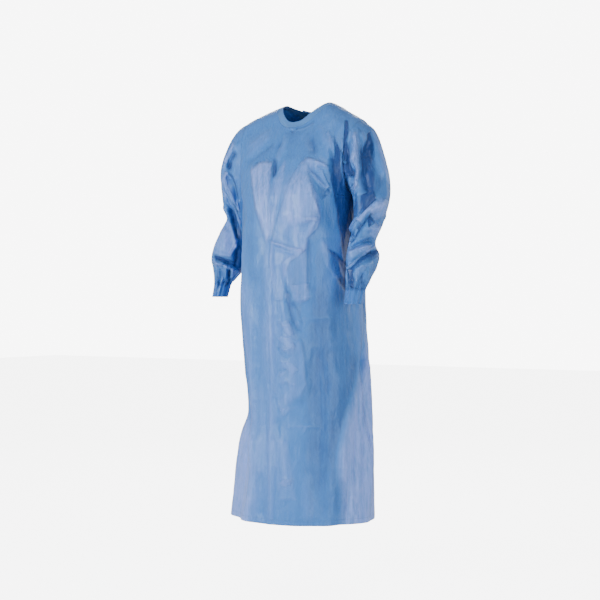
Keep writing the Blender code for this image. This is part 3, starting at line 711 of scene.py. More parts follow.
@dataclass(frozen=True)
class Viewpoint:
    """A level view of the gown, and the drawing plane through its axis that faces the view.

    A point lands on the plane where the line from the eye to the point meets it.
    """

    azimuth: float
    distance: float = 4.0
    eye_shift: float = -0.01812
    eye_height: float = -0.592

    def axes(self) -> tuple[Array, Array]:
        """Return the unit vectors to the right of the view and back to the eye."""
        turn = math.radians(self.azimuth)
        right = np.array([math.cos(turn), math.sin(turn), 0.0])
        back = np.array([math.sin(turn), -math.cos(turn), 0.0])
        return right, back

    def eye(self) -> Array:
        """Return the eye's place."""
        right, back = self.axes()
        return back * self.distance + right * self.eye_shift + np.array([0.0, 0.0, self.eye_height])

    def project(self, points: Array) -> tuple[Array, Array]:
        """Project points on the drawing plane.

        Args:
            points: Points along the last axis.

        Returns:
            Distances to the right of the origin and heights, in metres at the plane.
        """
        right, back = self.axes()
        grow = self.distance / (self.distance - points @ back)
        across = (points @ right - self.eye_shift) * grow + self.eye_shift
        height = self.eye_height + (points[..., 2] - self.eye_height) * grow
        return across, height

    def facing(self, points: Array, normals: Array) -> Array:
        """Say how squarely the cloth faces the eye.

        Args:
            points: Points along the last axis.
            normals: Their unit normals.

        Returns:
            The cosine between each normal and the way to the eye.
        """
        return (unit(self.eye() - points) * normals).sum(axis=-1)


CRISP_TIP = 0.25
STEP_SHARPNESS = 1.6
STEP_REACH = 2.2


@dataclass(frozen=True)
class Crease:
    """One fold of the cloth, drawn on a viewpoint's plane.

    path holds (across, down) pairs in millimetres: to the right of the origin and below it. half_width and
    height are in millimetres too, and end_share is the share of the length that each end fades over.
    """

    name: str
    group: Group
    profile: Profile
    half_width: float
    height: float
    end_share: float
    path: tuple[tuple[float, float], ...]

    def lift(self, across: Array, height: Array) -> Array:
        """Work out how far the crease moves the cloth out.

        Args:
            across: Distances on the drawing plane, in metres.
            height: Heights on the drawing plane, in metres.

        Returns:
            The lift in metres: height times the profile, faded at both ends. With n the distance to the
            path over half_width, the soft profile is exp(-n^2), the crisp one exp(tip - sqrt(n^2 + tip^2))
            and the step tanh(sharpness n) exp(-(n / reach)^2), up on one side of the path and down on the
            other.
        """
        line = np.array(self.path) * DRAWN
        steps = np.linalg.norm(np.diff(line, axis=0), axis=1)
        begun = np.concatenate([[0.0], np.cumsum(steps)])
        nearest = np.full(across.shape, np.inf)
        side = np.ones(across.shape)
        along = np.zeros(across.shape)
        for start, end, length, before in zip(line[:-1], line[1:], steps, begun):
            way = (end - start) / length
            local_x = across - start[0]
            local_z = height - start[1]
            run = np.clip(local_x * way[0] + local_z * way[1], 0.0, length)
            off_x = local_x - way[0] * run
            off_z = local_z - way[1] * run
            away = np.hypot(off_x, off_z)
            closer = away < nearest
            nearest = np.where(closer, away, nearest)
            side = np.where(closer, np.sign(way[0] * off_z - way[1] * off_x), side)
            along = np.where(closer, before + run, along)
        share = along / begun[-1]
        ends = smoothstep(share / self.end_share) * smoothstep((1.0 - share) / self.end_share)
        near = nearest / (self.half_width * MILLIMETRE)
        if self.profile is Profile.SOFT:
            shape = np.exp(-(near**2))
        elif self.profile is Profile.CRISP:
            shape = np.exp(CRISP_TIP - np.sqrt(near**2 + CRISP_TIP**2))
        else:
            shape = side * np.tanh(STEP_SHARPNESS * near) * np.exp(-((near / STEP_REACH) ** 2))
        return self.height * MILLIMETRE * shape * ends


@dataclass(frozen=True)
class PaintedPatch:
    """A painted highlight or painted shade: an area where the film's colour is made paler or deeper, drawn
    like a crease.

    outline holds (across, down) pairs in millimetres; edge is half the width its edge fades over. lean, where
    it is given, is the way that the patch fades in, in degrees: 0 is to the right and 90 is down.
    """

    name: str
    group: Group
    amount: float
    edge: float
    outline: tuple[tuple[float, float], ...]
    lean: float | None = None
    lean_loss: float = 0.85

    def tone(self, across: Array, height: Array) -> Array:
        """Work out how much the patch's painted highlight or shade changes the film's tone.

        Args:
            across: Distances on the drawing plane, in metres.
            height: Heights on the drawing plane, in metres.

        Returns:
            The amount, faded over the edge by the signed distance to the outline.
        """
        corners = np.array(self.outline) * DRAWN
        nearest = np.full(across.shape, np.inf)
        inside = np.zeros(across.shape, dtype=bool)
        for start, end in zip(corners, np.roll(corners, -1, axis=0)):
            way = end - start
            run = ((across - start[0]) * way[0] + (height - start[1]) * way[1]) / (way @ way)
            run = np.clip(run, 0.0, 1.0)
            away = np.hypot(across - start[0] - way[0] * run, height - start[1] - way[1] * run)
            nearest = np.minimum(nearest, away)
            if start[1] != end[1]:
                level = start[0] + (height - start[1]) / way[1] * way[0]
                inside ^= ((start[1] > height) != (end[1] > height)) & (across < level)
        signed = np.where(inside, nearest, -nearest)
        share = smoothstep(0.5 + signed / (self.edge * 2.0 * MILLIMETRE))
        if self.lean is not None:
            turn = math.radians(self.lean)
            way = np.array([math.cos(turn), -math.sin(turn)])
            reach = corners @ way
            run = (across * way[0] + height * way[1] - reach.min()) / np.ptp(reach)
            share = share * (1.0 - self.lean_loss * smoothstep(run))
        return self.amount * share


@dataclass(frozen=True)
class CreaseSheet:
    """The creases and the patches of painted highlight and shade drawn from one viewpoint, and how far round
    the cloth they reach.
    """

    viewpoint: Viewpoint
    creases: tuple[Crease, ...]
    patches: tuple[PaintedPatch, ...] = ()
    first_facing: float = 0.02
    full_facing: float = 0.34
    tone_turn: float = 0.5

    def tone(self, group: Group, points: Array, normals: Array) -> Array:
        """Sum the patches of painted highlight and shade on one piece of cloth.

        Args:
            group: The cloth.
            points: Its points.
            normals: Their unit normals.

        Returns:
            The change of tone, painted light and shade, faded out past the outline, where the cloth turns
            away from the view.
        """
        across, height = self.viewpoint.project(points)
        total = np.zeros(across.shape)
        for patch in self.patches:
            if patch.group is group:
                total += patch.tone(across, height)
        facing = self.viewpoint.facing(points, normals)
        return total * smoothstep(facing / self.tone_turn + 1.0)

    def lift(self, group: Group, points: Array, normals: Array) -> Array:
        """Sum the creases of one piece of cloth.

        Args:
            group: The cloth.
            points: Its points.
            normals: Their unit normals.

        Returns:
            The lift in metres, faded where the cloth turns away from the view.
        """
        across, height = self.viewpoint.project(points)
        facing = self.viewpoint.facing(points, normals)
        seen = smoothstep((facing - self.first_facing) / (self.full_facing - self.first_facing))
        total = np.zeros(across.shape)
        for crease in self.creases:
            if crease.group is group:
                total += crease.lift(across, height)
        return total * seen


# Large factors and shifts that scatter a lattice place over the numbers of one 32-bit word
PLACE_FACTORS = np.array([73856093, 19349663, 83492791])
SEED_FACTOR = 2654435761
SCATTER = ((15, 2246822519), (13, 3266489917))
LAST_SHIFT = 16
WORD = 0xFFFFFFFF


@dataclass(frozen=True)
class Crumple:
    """The fine crumple of the cloth: folded lattice noise, drawn out along the gown's length.

    cells holds the width, the length and the height of each size of crumple.
    """

    cells: tuple[tuple[float, float, float], ...] = (
        (0.070, 0.190, 0.0020),
        (0.034, 0.085, 0.0013),
        (0.018, 0.034, 0.0007),
    )
    warp: float = 0.012
    warp_cell: float = 0.05
    warp_seeds: tuple[int, int, int] = (11, 12, 13)
    fold_slope: float = 1.6

    @staticmethod
    def lattice(points: Array, seed: int) -> Array:
        """Interpolate random numbers of a cubic lattice.

        Args:
            points: Points in lattice cells.
            seed: Which lattice.

        Returns:
            Smooth noise between 0 and 1.
        """
        cell = np.floor(points).astype(np.int64)
        part = smoothstep(points - cell)
        total = np.zeros(points.shape[:-1])
        for corner in np.ndindex(2, 2, 2):
            place = (cell + np.array(corner)) * PLACE_FACTORS
            mixed = (np.bitwise_xor.reduce(place, axis=-1) ^ (seed * SEED_FACTOR)) & WORD
            for shift, factor in SCATTER:
                mixed = ((mixed ^ (mixed >> shift)) * factor) & WORD
            value = (mixed ^ (mixed >> LAST_SHIFT)) / WORD
            weight = np.prod(np.where(np.array(corner) == 1, part, 1.0 - part), axis=-1)
            total += value * weight
        return total

    def lift(self, points: Array) -> Array:
        """Work out the crumple's height.

        Args:
            points: Points of the cloth.

        Returns:
            The sum over the cell sizes of height times 0.5 - fold_slope |2 noise - 1|, in metres.
        """
        noises = [self.lattice(points / self.warp_cell, seed) for seed in self.warp_seeds]
        shift = np.stack(noises, axis=-1) - 0.5
        bent = points + shift * 2.0 * self.warp
        total = np.zeros(points.shape[:-1])
        for seed, (wide, long, height) in enumerate(self.cells):
            noise = self.lattice(bent / np.array([wide, wide, long]), seed + 1)
            total += height * (0.5 - np.abs(2.0 * noise - 1.0) * self.fold_slope)
        return total


def pairs(text: str) -> tuple[tuple[float, float], ...]:
    """Read the points of a drawn line.

    Args:
        text: Points with a space between them, each written across,down in millimetres.

    Returns:
        The (across, down) pairs.
    """
    return tuple(tuple(float(part) for part in point.split(",")) for point in text.split())


def creases(group: Group, *rows: tuple) -> tuple[Crease, ...]:
    """Make creases from a table.

    Args:
        group: The cloth that they are drawn on.
        *rows: The other fields of Crease in their order, with the path as text.

    Returns:
        The creases.
    """
    return tuple(Crease(name, group, *sizes, pairs(text)) for name, *sizes, text in rows)


def patches(group: Group, *rows: tuple) -> tuple[PaintedPatch, ...]:
    """Make patches from a table.

    Args:
        group: The cloth that they are drawn on.
        *rows: The other fields of Patch in their order, with the outline as text.

    Returns:
        The patches.
    """
    made = []
    for name, amount, edge, text, *lean in rows:
        made.append(PaintedPatch(name, group, amount, edge, pairs(text), *lean))
    return tuple(made)


BODY = Group.BODY
LEFT = Group.SLEEVE_LEFT
RIGHT = Group.SLEEVE_RIGHT
SOFT = Profile.SOFT
CRISP = Profile.CRISP
STEP = Profile.STEP
# Folds of the front, drawn on the plane that faces the photo's camera
FRONT_CREASES = creases(
    BODY,
    ("centre line", CRISP, 5, 2.6, 0.04, "-104,411 -103,683 -106,954 -107,1259"),
    ("pale band left of the centre line", SOFT, 14, 3.2, 0.25, "-121,399 -121,592 -121,834"),
    ("chest streak", CRISP, 6, 3.2, 0.2, "-163,172 -157,260 -139,356"),
    ("chest streak", CRISP, 5, 3.5, 0.2, "-145,169 -139,275 -124,387"),
    ("chest streak", CRISP, 5, 2.9, 0.2, "-128,172 -121,290 -113,399"),
    ("chest streak", CRISP, 5, 3.8, 0.2, "-112,178 -110,290 -107,405"),
    ("chest fold under the neck", CRISP, 6, -4, 0.35, "-88,151 -92,187 -97,230"),
    ("chest fold ridge", CRISP, 6, 4.3, 0.3, "-78,205 -88,242 -94,302"),
    ("centre chest swell", SOFT, 42, 13, 0.35, "-21,193 -36,290 -51,399"),
    ("centre chest hollow", SOFT, 14, -3, 0.3, "-66,184 -82,260 -88,335"),
    ("swell edge", CRISP, 12, 7.2, 0.15, "-9,166 6,208 18,266 39,338"),
    ("swell return", CRISP, 8, 4.6, 0.2, "39,332 18,369 3,399 0,447"),
    ("swell streak", CRISP, 6, 3.8, 0.3, "-42,278 -41,320 -30,362"),
    ("swell crumple", CRISP, 5, 3.2, 0.3, "-27,332 0,350 36,341"),
    ("swell crumple", CRISP, 5, -3.2, 0.3, "-18,369 6,362 30,356"),
    ("pocket ridge", CRISP, 7, 5.8, 0.2, "-12,166 18,172 54,184 76,205"),
    ("pocket trough", CRISP, 8, -8, 0.25, "3,187 30,208 57,242 79,266"),
    ("pocket lower ridge", CRISP, 6, 5.1, 0.25, "15,205 42,230 69,257"),
    ("pocket point", SOFT, 7, 4.3, 0.4, "63,239 72,260"),
    ("front arm fold", SOFT, 17, -7, 0.18, "85,115 82,163 97,248 109,332 115,399"),
    ("front arm crest", CRISP, 9, 5.2, 0.3, "76,91 66,145 76,205"),
    ("side chest hollow", SOFT, 20, -4, 0.3, "48,260 66,332 91,411"),
    ("side chest ridge", CRISP, 9, 4.3, 0.3, "42,405 60,441 85,477"),
    ("side waist ridge", CRISP, 9, 3.8, 0.3, "76,447 97,495 115,544"),
    ("left shoulder streak", CRISP, 8, 3.2, 0.3, "-94,70 -133,100 -181,142"),
    ("left shoulder streak", CRISP, 8, -3.2, 0.3, "-82,109 -133,145 -187,187"),
    ("left shoulder streak", CRISP, 7, 2.6, 0.3, "-88,82 -145,130 -196,175"),
    ("neck fold", CRISP, 7, 3.5, 0.3, "-54,91 -75,139 -97,193"),
    ("neck fold", CRISP, 7, -3.5, 0.3, "-66,97 -91,145 -112,199"),
    ("neck fold", CRISP, 6, 2.9, 0.3, "-85,127 -103,184 -115,248"),
    ("neck v", CRISP, 4, -2.6, 0.3, "-57,73 -42,82 -18,70"),
    ("right of neck fold", CRISP, 9, 3.2, 0.3, "36,60 54,91 66,127"),
    ("right of neck hollow", SOFT, 12, -3.8, 0.3, "9,91 21,127 24,157"),
    ("cross crease high", CRISP, 5, 3.5, 0.12, "-115,414 -78,426 -36,444 3,444"),
    ("cross crease high shade", CRISP, 5, -2.6, 0.2, "-97,429 -60,444 -18,459"),
    ("waist edge", STEP, 9, -3.4, 0.15, "3,399 5,477 3,580"),
    ("waist crumple", CRISP, 6, -2.6, 0.25, "-85,477 -75,532 -63,583"),
    ("waist crumple", CRISP, 6, 4.3, 0.25, "-63,477 -54,520 -51,568"),
    ("waist crumple", CRISP, 5, 3.5, 0.3, "-39,568 -18,583 0,565"),
    ("waist crumple", CRISP, 5, 3.5, 0.3, "-30,595 -6,589 15,574"),
    ("waist fold", CRISP, 10, -3.5, 0.2, "-66,547 -60,592 -45,646 -18,701"),
    ("waist fold crest", CRISP, 8, 2.6, 0.2, "-82,556 -72,616 -57,671 -27,725"),
    ("waist fold right crest", CRISP, 8, 4.3, 0.3, "-39,601 -27,646 -9,683"),
    ("cross crease middle", CRISP, 4, 1.7, 0.1, "-30,646 24,649 85,643"),
    ("front band", SOFT, 26, 7.2, 0.2, "-51,646 -45,743 -42,849 -60,942"),
    ("front band edge", CRISP, 8, 4.9, 0.15, "-18,701 -9,773 -3,846 -24,900"),
    ("band crinkle", CRISP, 4, 2.9, 0.3, "-91,652 -66,671 -36,658"),
    ("band crinkle", CRISP, 4, -2.9, 0.3, "-82,701 -51,707 -21,734"),
    ("band crinkle", CRISP, 4, 2.9, 0.3, "-88,749 -54,740 -18,719"),
    ("band crinkle", CRISP, 4, -2.6, 0.3, "-91,809 -66,803 -45,809"),
    ("band crinkle", CRISP, 4, 2.6, 0.3, "-85,852 -57,837 -24,852"),
    ("band crinkle", CRISP, 4, 2.6, 0.3, "-91,888 -75,924 -63,948"),
    ("band crinkle", CRISP, 4, -2.6, 0.3, "-97,870 -88,912 -78,942"),
    ("cross crease low", CRISP, 4, 2, 0.1, "-60,976 -6,973 48,976"),
    ("cross crease low tick", CRISP, 4, 2.6, 0.3, "-9,997 3,976 18,966"),
    ("knee band", SOFT, 16, 3.8, 0.25, "-82,979 -66,1075 -51,1178"),
    ("knee crumple", CRISP, 5, 2.9, 0.3, "-78,1148 -57,1136 -33,1142"),
    ("front left long fold", SOFT, 20, -2.4, 0.2, "-151,477 -154,683 -148,894"),
    ("front left long crest", SOFT, 12, 3.5, 0.2, "-172,562 -169,773 -166,954"),
    ("left flare edge", STEP, 16, 7.2, 0.15, "-175,991 -166,1105 -187,1232"),
    ("left flare streak", SOFT, 8, 3.5, 0.2, "-184,1033 -190,1136 -202,1220"),
    ("right long edge", STEP, 15, 4, 0.08, "181,743 148,870 115,979 100,1063 118,1154 118,1250"),
    ("right streak", SOFT, 7, 4.9, 0.15, "166,822 160,985 157,1196"),
    ("right streak", SOFT, 6, -2.4, 0.15, "178,870 175,1033 175,1220"),
    ("right streak", SOFT, 6, 3.8, 0.15, "193,894 193,1051 193,1214"),
    ("right streak", SOFT, 6, 3.8, 0.2, "133,985 136,1105 139,1238"),
    ("right front hollow", SOFT, 34, -2, 0.2, "48,683 54,894 36,1105"),
    ("hem left rise", SOFT, 14, -3.5, 0.2, "-136,1105 -133,1184 -133,1262"),
    ("hem right rise", SOFT, 16, 3.5, 0.2, "0,1105 6,1196 9,1272"),
) + creases(
    LEFT,
    ("shoulder deep fold", SOFT, 9, -13, 0.2, "127,85 121,139 127,193 145,248"),
    ("shoulder crest", CRISP, 9, 7.2, 0.2, "139,70 151,115 142,157 133,205"),
    ("cap facet", CRISP, 6, 5.8, 0.2, "154,139 145,169 157,205 148,239"),
    ("cap facet", CRISP, 5, -5.8, 0.3, "136,169 148,193 139,224"),
    ("cap facet", CRISP, 5, 4.3, 0.3, "124,218 142,233 157,218"),
    ("cap long crest", CRISP, 9, 5.8, 0.2, "157,73 175,121 175,169 163,218"),
    ("arm deep trough", SOFT, 15, -15.9, 0.18, "190,103 178,163 181,224 199,278"),
    ("outer crest", CRISP, 14, 5.8, 0.2, "205,103 220,163 239,230"),
    ("arm inner trough", SOFT, 10, -8.7, 0.25, "151,260 145,308 127,369"),
    ("arm inner crest", CRISP, 8, 7.2, 0.2, "160,254 151,308 133,356 118,399"),
    ("elbow fold crest", CRISP, 9, 8.7, 0.15, "121,405 154,356 190,320 242,281"),
    ("elbow fold trough", SOFT, 9, -13, 0.2, "124,420 157,381 184,350 205,332"),
    ("elbow pale facet", SOFT, 14, 5.8, 0.3, "199,308 220,308 242,299"),
    ("elbow triangle", CRISP, 6, 7.2, 0.25, "187,338 202,362 223,387"),
    ("elbow triangle", CRISP, 6, -8.7, 0.25, "196,326 211,350 230,369"),
    ("elbow triangle", CRISP, 6, 5.8, 0.25, "169,375 193,375 223,390"),
    ("notch trough", SOFT, 8, -8.7, 0.2, "217,417 193,411 157,423 127,441"),
    ("forearm crest", CRISP, 9, 7.2, 0.2, "121,453 157,441 199,432"),
    ("forearm trough", SOFT, 8, -10.2, 0.2, "127,495 151,471 181,453 217,441"),
    ("forearm lower crest", CRISP, 8, 5.8, 0.25, "139,507 169,489 205,477"),
    ("cuff lobe", CRISP, 5, 4.3, 0.25, "121,477 121,507 127,538"),
    ("cuff lobe", CRISP, 4, -5.8, 0.25, "136,489 133,520 139,544"),
    ("cuff lobe", CRISP, 5, 3.8, 0.3, "154,501 151,526 154,550"),
    ("cuff lobe", CRISP, 4, -3.8, 0.3, "172,501 169,526 169,553"),
    ("cuff lobe", CRISP, 5, 3.5, 0.3, "190,501 184,526 184,550"),
) + creases(
    RIGHT,
    ("cap fold", SOFT, 8, -10.2, 0.2, "-211,139 -230,169 -239,205"),
    ("cap crest", CRISP, 7, 5.8, 0.25, "-196,109 -217,145 -233,187"),
    ("arm diagonal crest", CRISP, 7, 7.2, 0.2, "-251,205 -233,248 -214,311"),
    ("arm diagonal trough", SOFT, 8, -10.2, 0.2, "-236,211 -220,254 -208,302"),
    ("arm second trough", SOFT, 7, -8.7, 0.2, "-251,260 -230,302 -208,356"),
    ("arm second crest", CRISP, 7, 5.8, 0.2, "-251,299 -230,344 -211,393"),
    ("forearm long trough", SOFT, 7, -8.7, 0.2, "-236,308 -217,356 -202,417"),
    ("forearm facet", SOFT, 14, 5.8, 0.3, "-248,369 -245,411 -242,447"),
    ("forearm edge", CRISP, 6, 4.3, 0.3, "-220,369 -214,411 -208,453"),
    ("cross fold", SOFT, 6, -7.2, 0.15, "-281,465 -254,474 -214,486"),
    ("cross fold crest", CRISP, 5, 4.9, 0.2, "-281,477 -254,486 -223,495"),
    ("inner pocket", SOFT, 7, -8.7, 0.25, "-205,429 -208,465 -214,501"),
    ("flute", CRISP, 4, 4.3, 0.3, "-263,489 -260,532"),
    ("flute", CRISP, 4, -5.2, 0.3, "-252,489 -249,535"),
    ("flute", CRISP, 4, 4.3, 0.3, "-242,489 -240,538"),
    ("flute", CRISP, 4, -5.2, 0.3, "-231,492 -231,541"),
    ("flute", CRISP, 4, 4.3, 0.3, "-222,495 -225,541"),
)


# Folds of the hidden back, drawn from behind: like the front's, hanging from the shoulders, the lap
# and the waist ties.
BACK_CREASES = creases(
    BODY,
    ("shoulder blade fold", SOFT, 26, 8.7, 0.22, "-70,90 -64,200 -40,330"),
    ("shoulder blade hollow", SOFT, 18, -7.2, 0.22, "-104,110 -92,230 -70,360"),
    ("other blade fold", SOFT, 28, 8.7, 0.22, "82,90 70,210 52,330"),
    ("other blade hollow", SOFT, 18, -7.2, 0.22, "116,120 100,240 86,360"),
    ("lap pull", CRISP, 8, 4.3, 0.22, "20,96 -18,150 -44,220"),
    ("lap pull", CRISP, 8, -4.3, 0.22, "30,110 10,180 -14,280"),
    ("lap pull", CRISP, 7, 3.5, 0.22, "36,104 48,180 50,260"),
    ("tie gather", CRISP, 7, -5.8, 0.3, "-120,380 -60,430 -10,452"),
    ("tie gather", CRISP, 7, 5.2, 0.3, "-128,410 -70,440 -16,458"),
    ("tie gather", CRISP, 7, 5.2, 0.3, "124,384 70,424 22,448"),
    ("tie gather", CRISP, 7, -5.8, 0.3, "130,420 80,442 30,456"),
    ("below tie", SOFT, 14, 7.2, 0.22, "-30,480 -44,640 -58,860 -64,1240"),
    ("below tie", SOFT, 14, -7.2, 0.22, "-8,500 -14,700 -20,940 -22,1250"),
    ("below tie", SOFT, 16, 7.2, 0.22, "22,490 30,680 40,940 44,1250"),
    ("below tie", SOFT, 14, -7.2, 0.22, "52,500 72,700 88,960 92,1250"),
    ("right skirt fold", SOFT, 20, 8.7, 0.22, "90,560 116,760 132,1000 140,1250"),
    ("left skirt fold", SOFT, 20, -8.7, 0.22, "-92,560 -112,780 -120,1000 -118,1250"),
    ("left skirt crest", SOFT, 16, 7.2, 0.22, "-132,620 -150,840 -158,1200"),
    ("cross crease high", CRISP, 4, 2.3, 0.1, "-90,414 -20,420 60,415"),
    ("cross crease middle", CRISP, 4, 2, 0.1, "-110,646 0,650 110,645"),
    ("cross crease low", CRISP, 4, 2, 0.1, "-120,972 0,975 120,970"),
    ("crumple", CRISP, 5, 3.2, 0.3, "-60,560 -34,574 -10,566"),
    ("crumple", CRISP, 5, -3.2, 0.3, "40,700 60,716 88,708"),
    ("crumple", CRISP, 5, 3.2, 0.3, "-80,820 -56,836 -36,828"),
) + creases(
    LEFT,
    ("back arm fold", SOFT, 12, -11.6, 0.22, "-196,120 -190,200 -182,290"),
    ("back arm crest", CRISP, 9, 6.7, 0.22, "-214,130 -206,210 -196,300"),
    ("elbow fold", CRISP, 8, -8.7, 0.22, "-250,300 -220,330 -186,338"),
    ("elbow crest", CRISP, 8, 7.2, 0.22, "-252,330 -220,356 -186,362"),
    ("forearm fold", CRISP, 8, -7.2, 0.22, "-240,430 -216,450 -184,456"),
    ("forearm crest", CRISP, 8, 5.8, 0.22, "-236,460 -214,476 -188,480"),
) + creases(
    RIGHT,
    ("back arm fold", SOFT, 14, -11.6, 0.22, "204,110 206,200 194,290"),
    ("back arm crest", CRISP, 9, 6.7, 0.22, "226,120 230,210 216,300"),
    ("elbow fold", CRISP, 8, -8.7, 0.22, "272,290 244,326 206,338"),
    ("elbow crest", CRISP, 8, 7.2, 0.22, "274,322 246,352 208,360"),
    ("forearm fold", CRISP, 8, -7.2, 0.22, "286,420 262,444 226,452"),
    ("forearm crest", CRISP, 8, 5.8, 0.22, "286,452 264,470 236,478"),
)
# Folds of the gown's left side, and then of its right side
LEFT_CREASES = creases(
    BODY,
    ("side fold", SOFT, 18, 5.2, 0.22, "-70,330 -78,560 -92,840 -100,1240"),
    ("side fold", SOFT, 16, -5.2, 0.22, "-30,350 -34,600 -42,880 -46,1240"),
    ("side fold", SOFT, 18, 4.3, 0.22, "22,340 26,600 34,880 38,1240"),
    ("side fold", SOFT, 16, -4.3, 0.22, "66,360 74,600 86,900 92,1240"),
) + creases(
    LEFT,
    ("elbow fold", CRISP, 9, -10.2, 0.22, "-60,330 -20,320 30,300 56,286"),
    ("elbow crest", CRISP, 9, 7.2, 0.22, "-58,366 -16,352 34,330 58,312"),
    ("upper arm fold", SOFT, 14, -10.2, 0.22, "-20,110 -16,190 -30,280"),
    ("upper arm crest", CRISP, 12, 5.8, 0.22, "18,110 22,200 14,280"),
    ("forearm fold", CRISP, 8, -7.2, 0.22, "-110,470 -80,456 -36,446"),
)
RIGHT_CREASES = creases(
    BODY,
    ("side fold", SOFT, 18, 5.2, 0.22, "70,330 80,560 90,840 98,1240"),
    ("side fold", SOFT, 16, -5.2, 0.22, "34,350 38,600 44,880 50,1240"),
    ("side fold", SOFT, 18, 4.3, 0.22, "-18,340 -24,600 -30,880 -34,1240"),
    ("side fold", SOFT, 16, -4.3, 0.22, "-60,360 -70,600 -80,900 -88,1240"),
) + creases(
    RIGHT,
    ("elbow fold", CRISP, 9, -10.2, 0.22, "64,316 20,318 -24,304 -54,290"),
    ("elbow crest", CRISP, 9, 7.2, 0.22, "62,350 18,350 -28,334 -56,318"),
    ("upper arm fold", SOFT, 14, -10.2, 0.22, "26,100 20,190 30,270"),
    ("upper arm crest", CRISP, 12, 5.8, 0.22, "-14,100 -20,200 -12,270"),
    ("forearm fold", CRISP, 8, -7.2, 0.22, "84,440 54,436 12,424"),
)
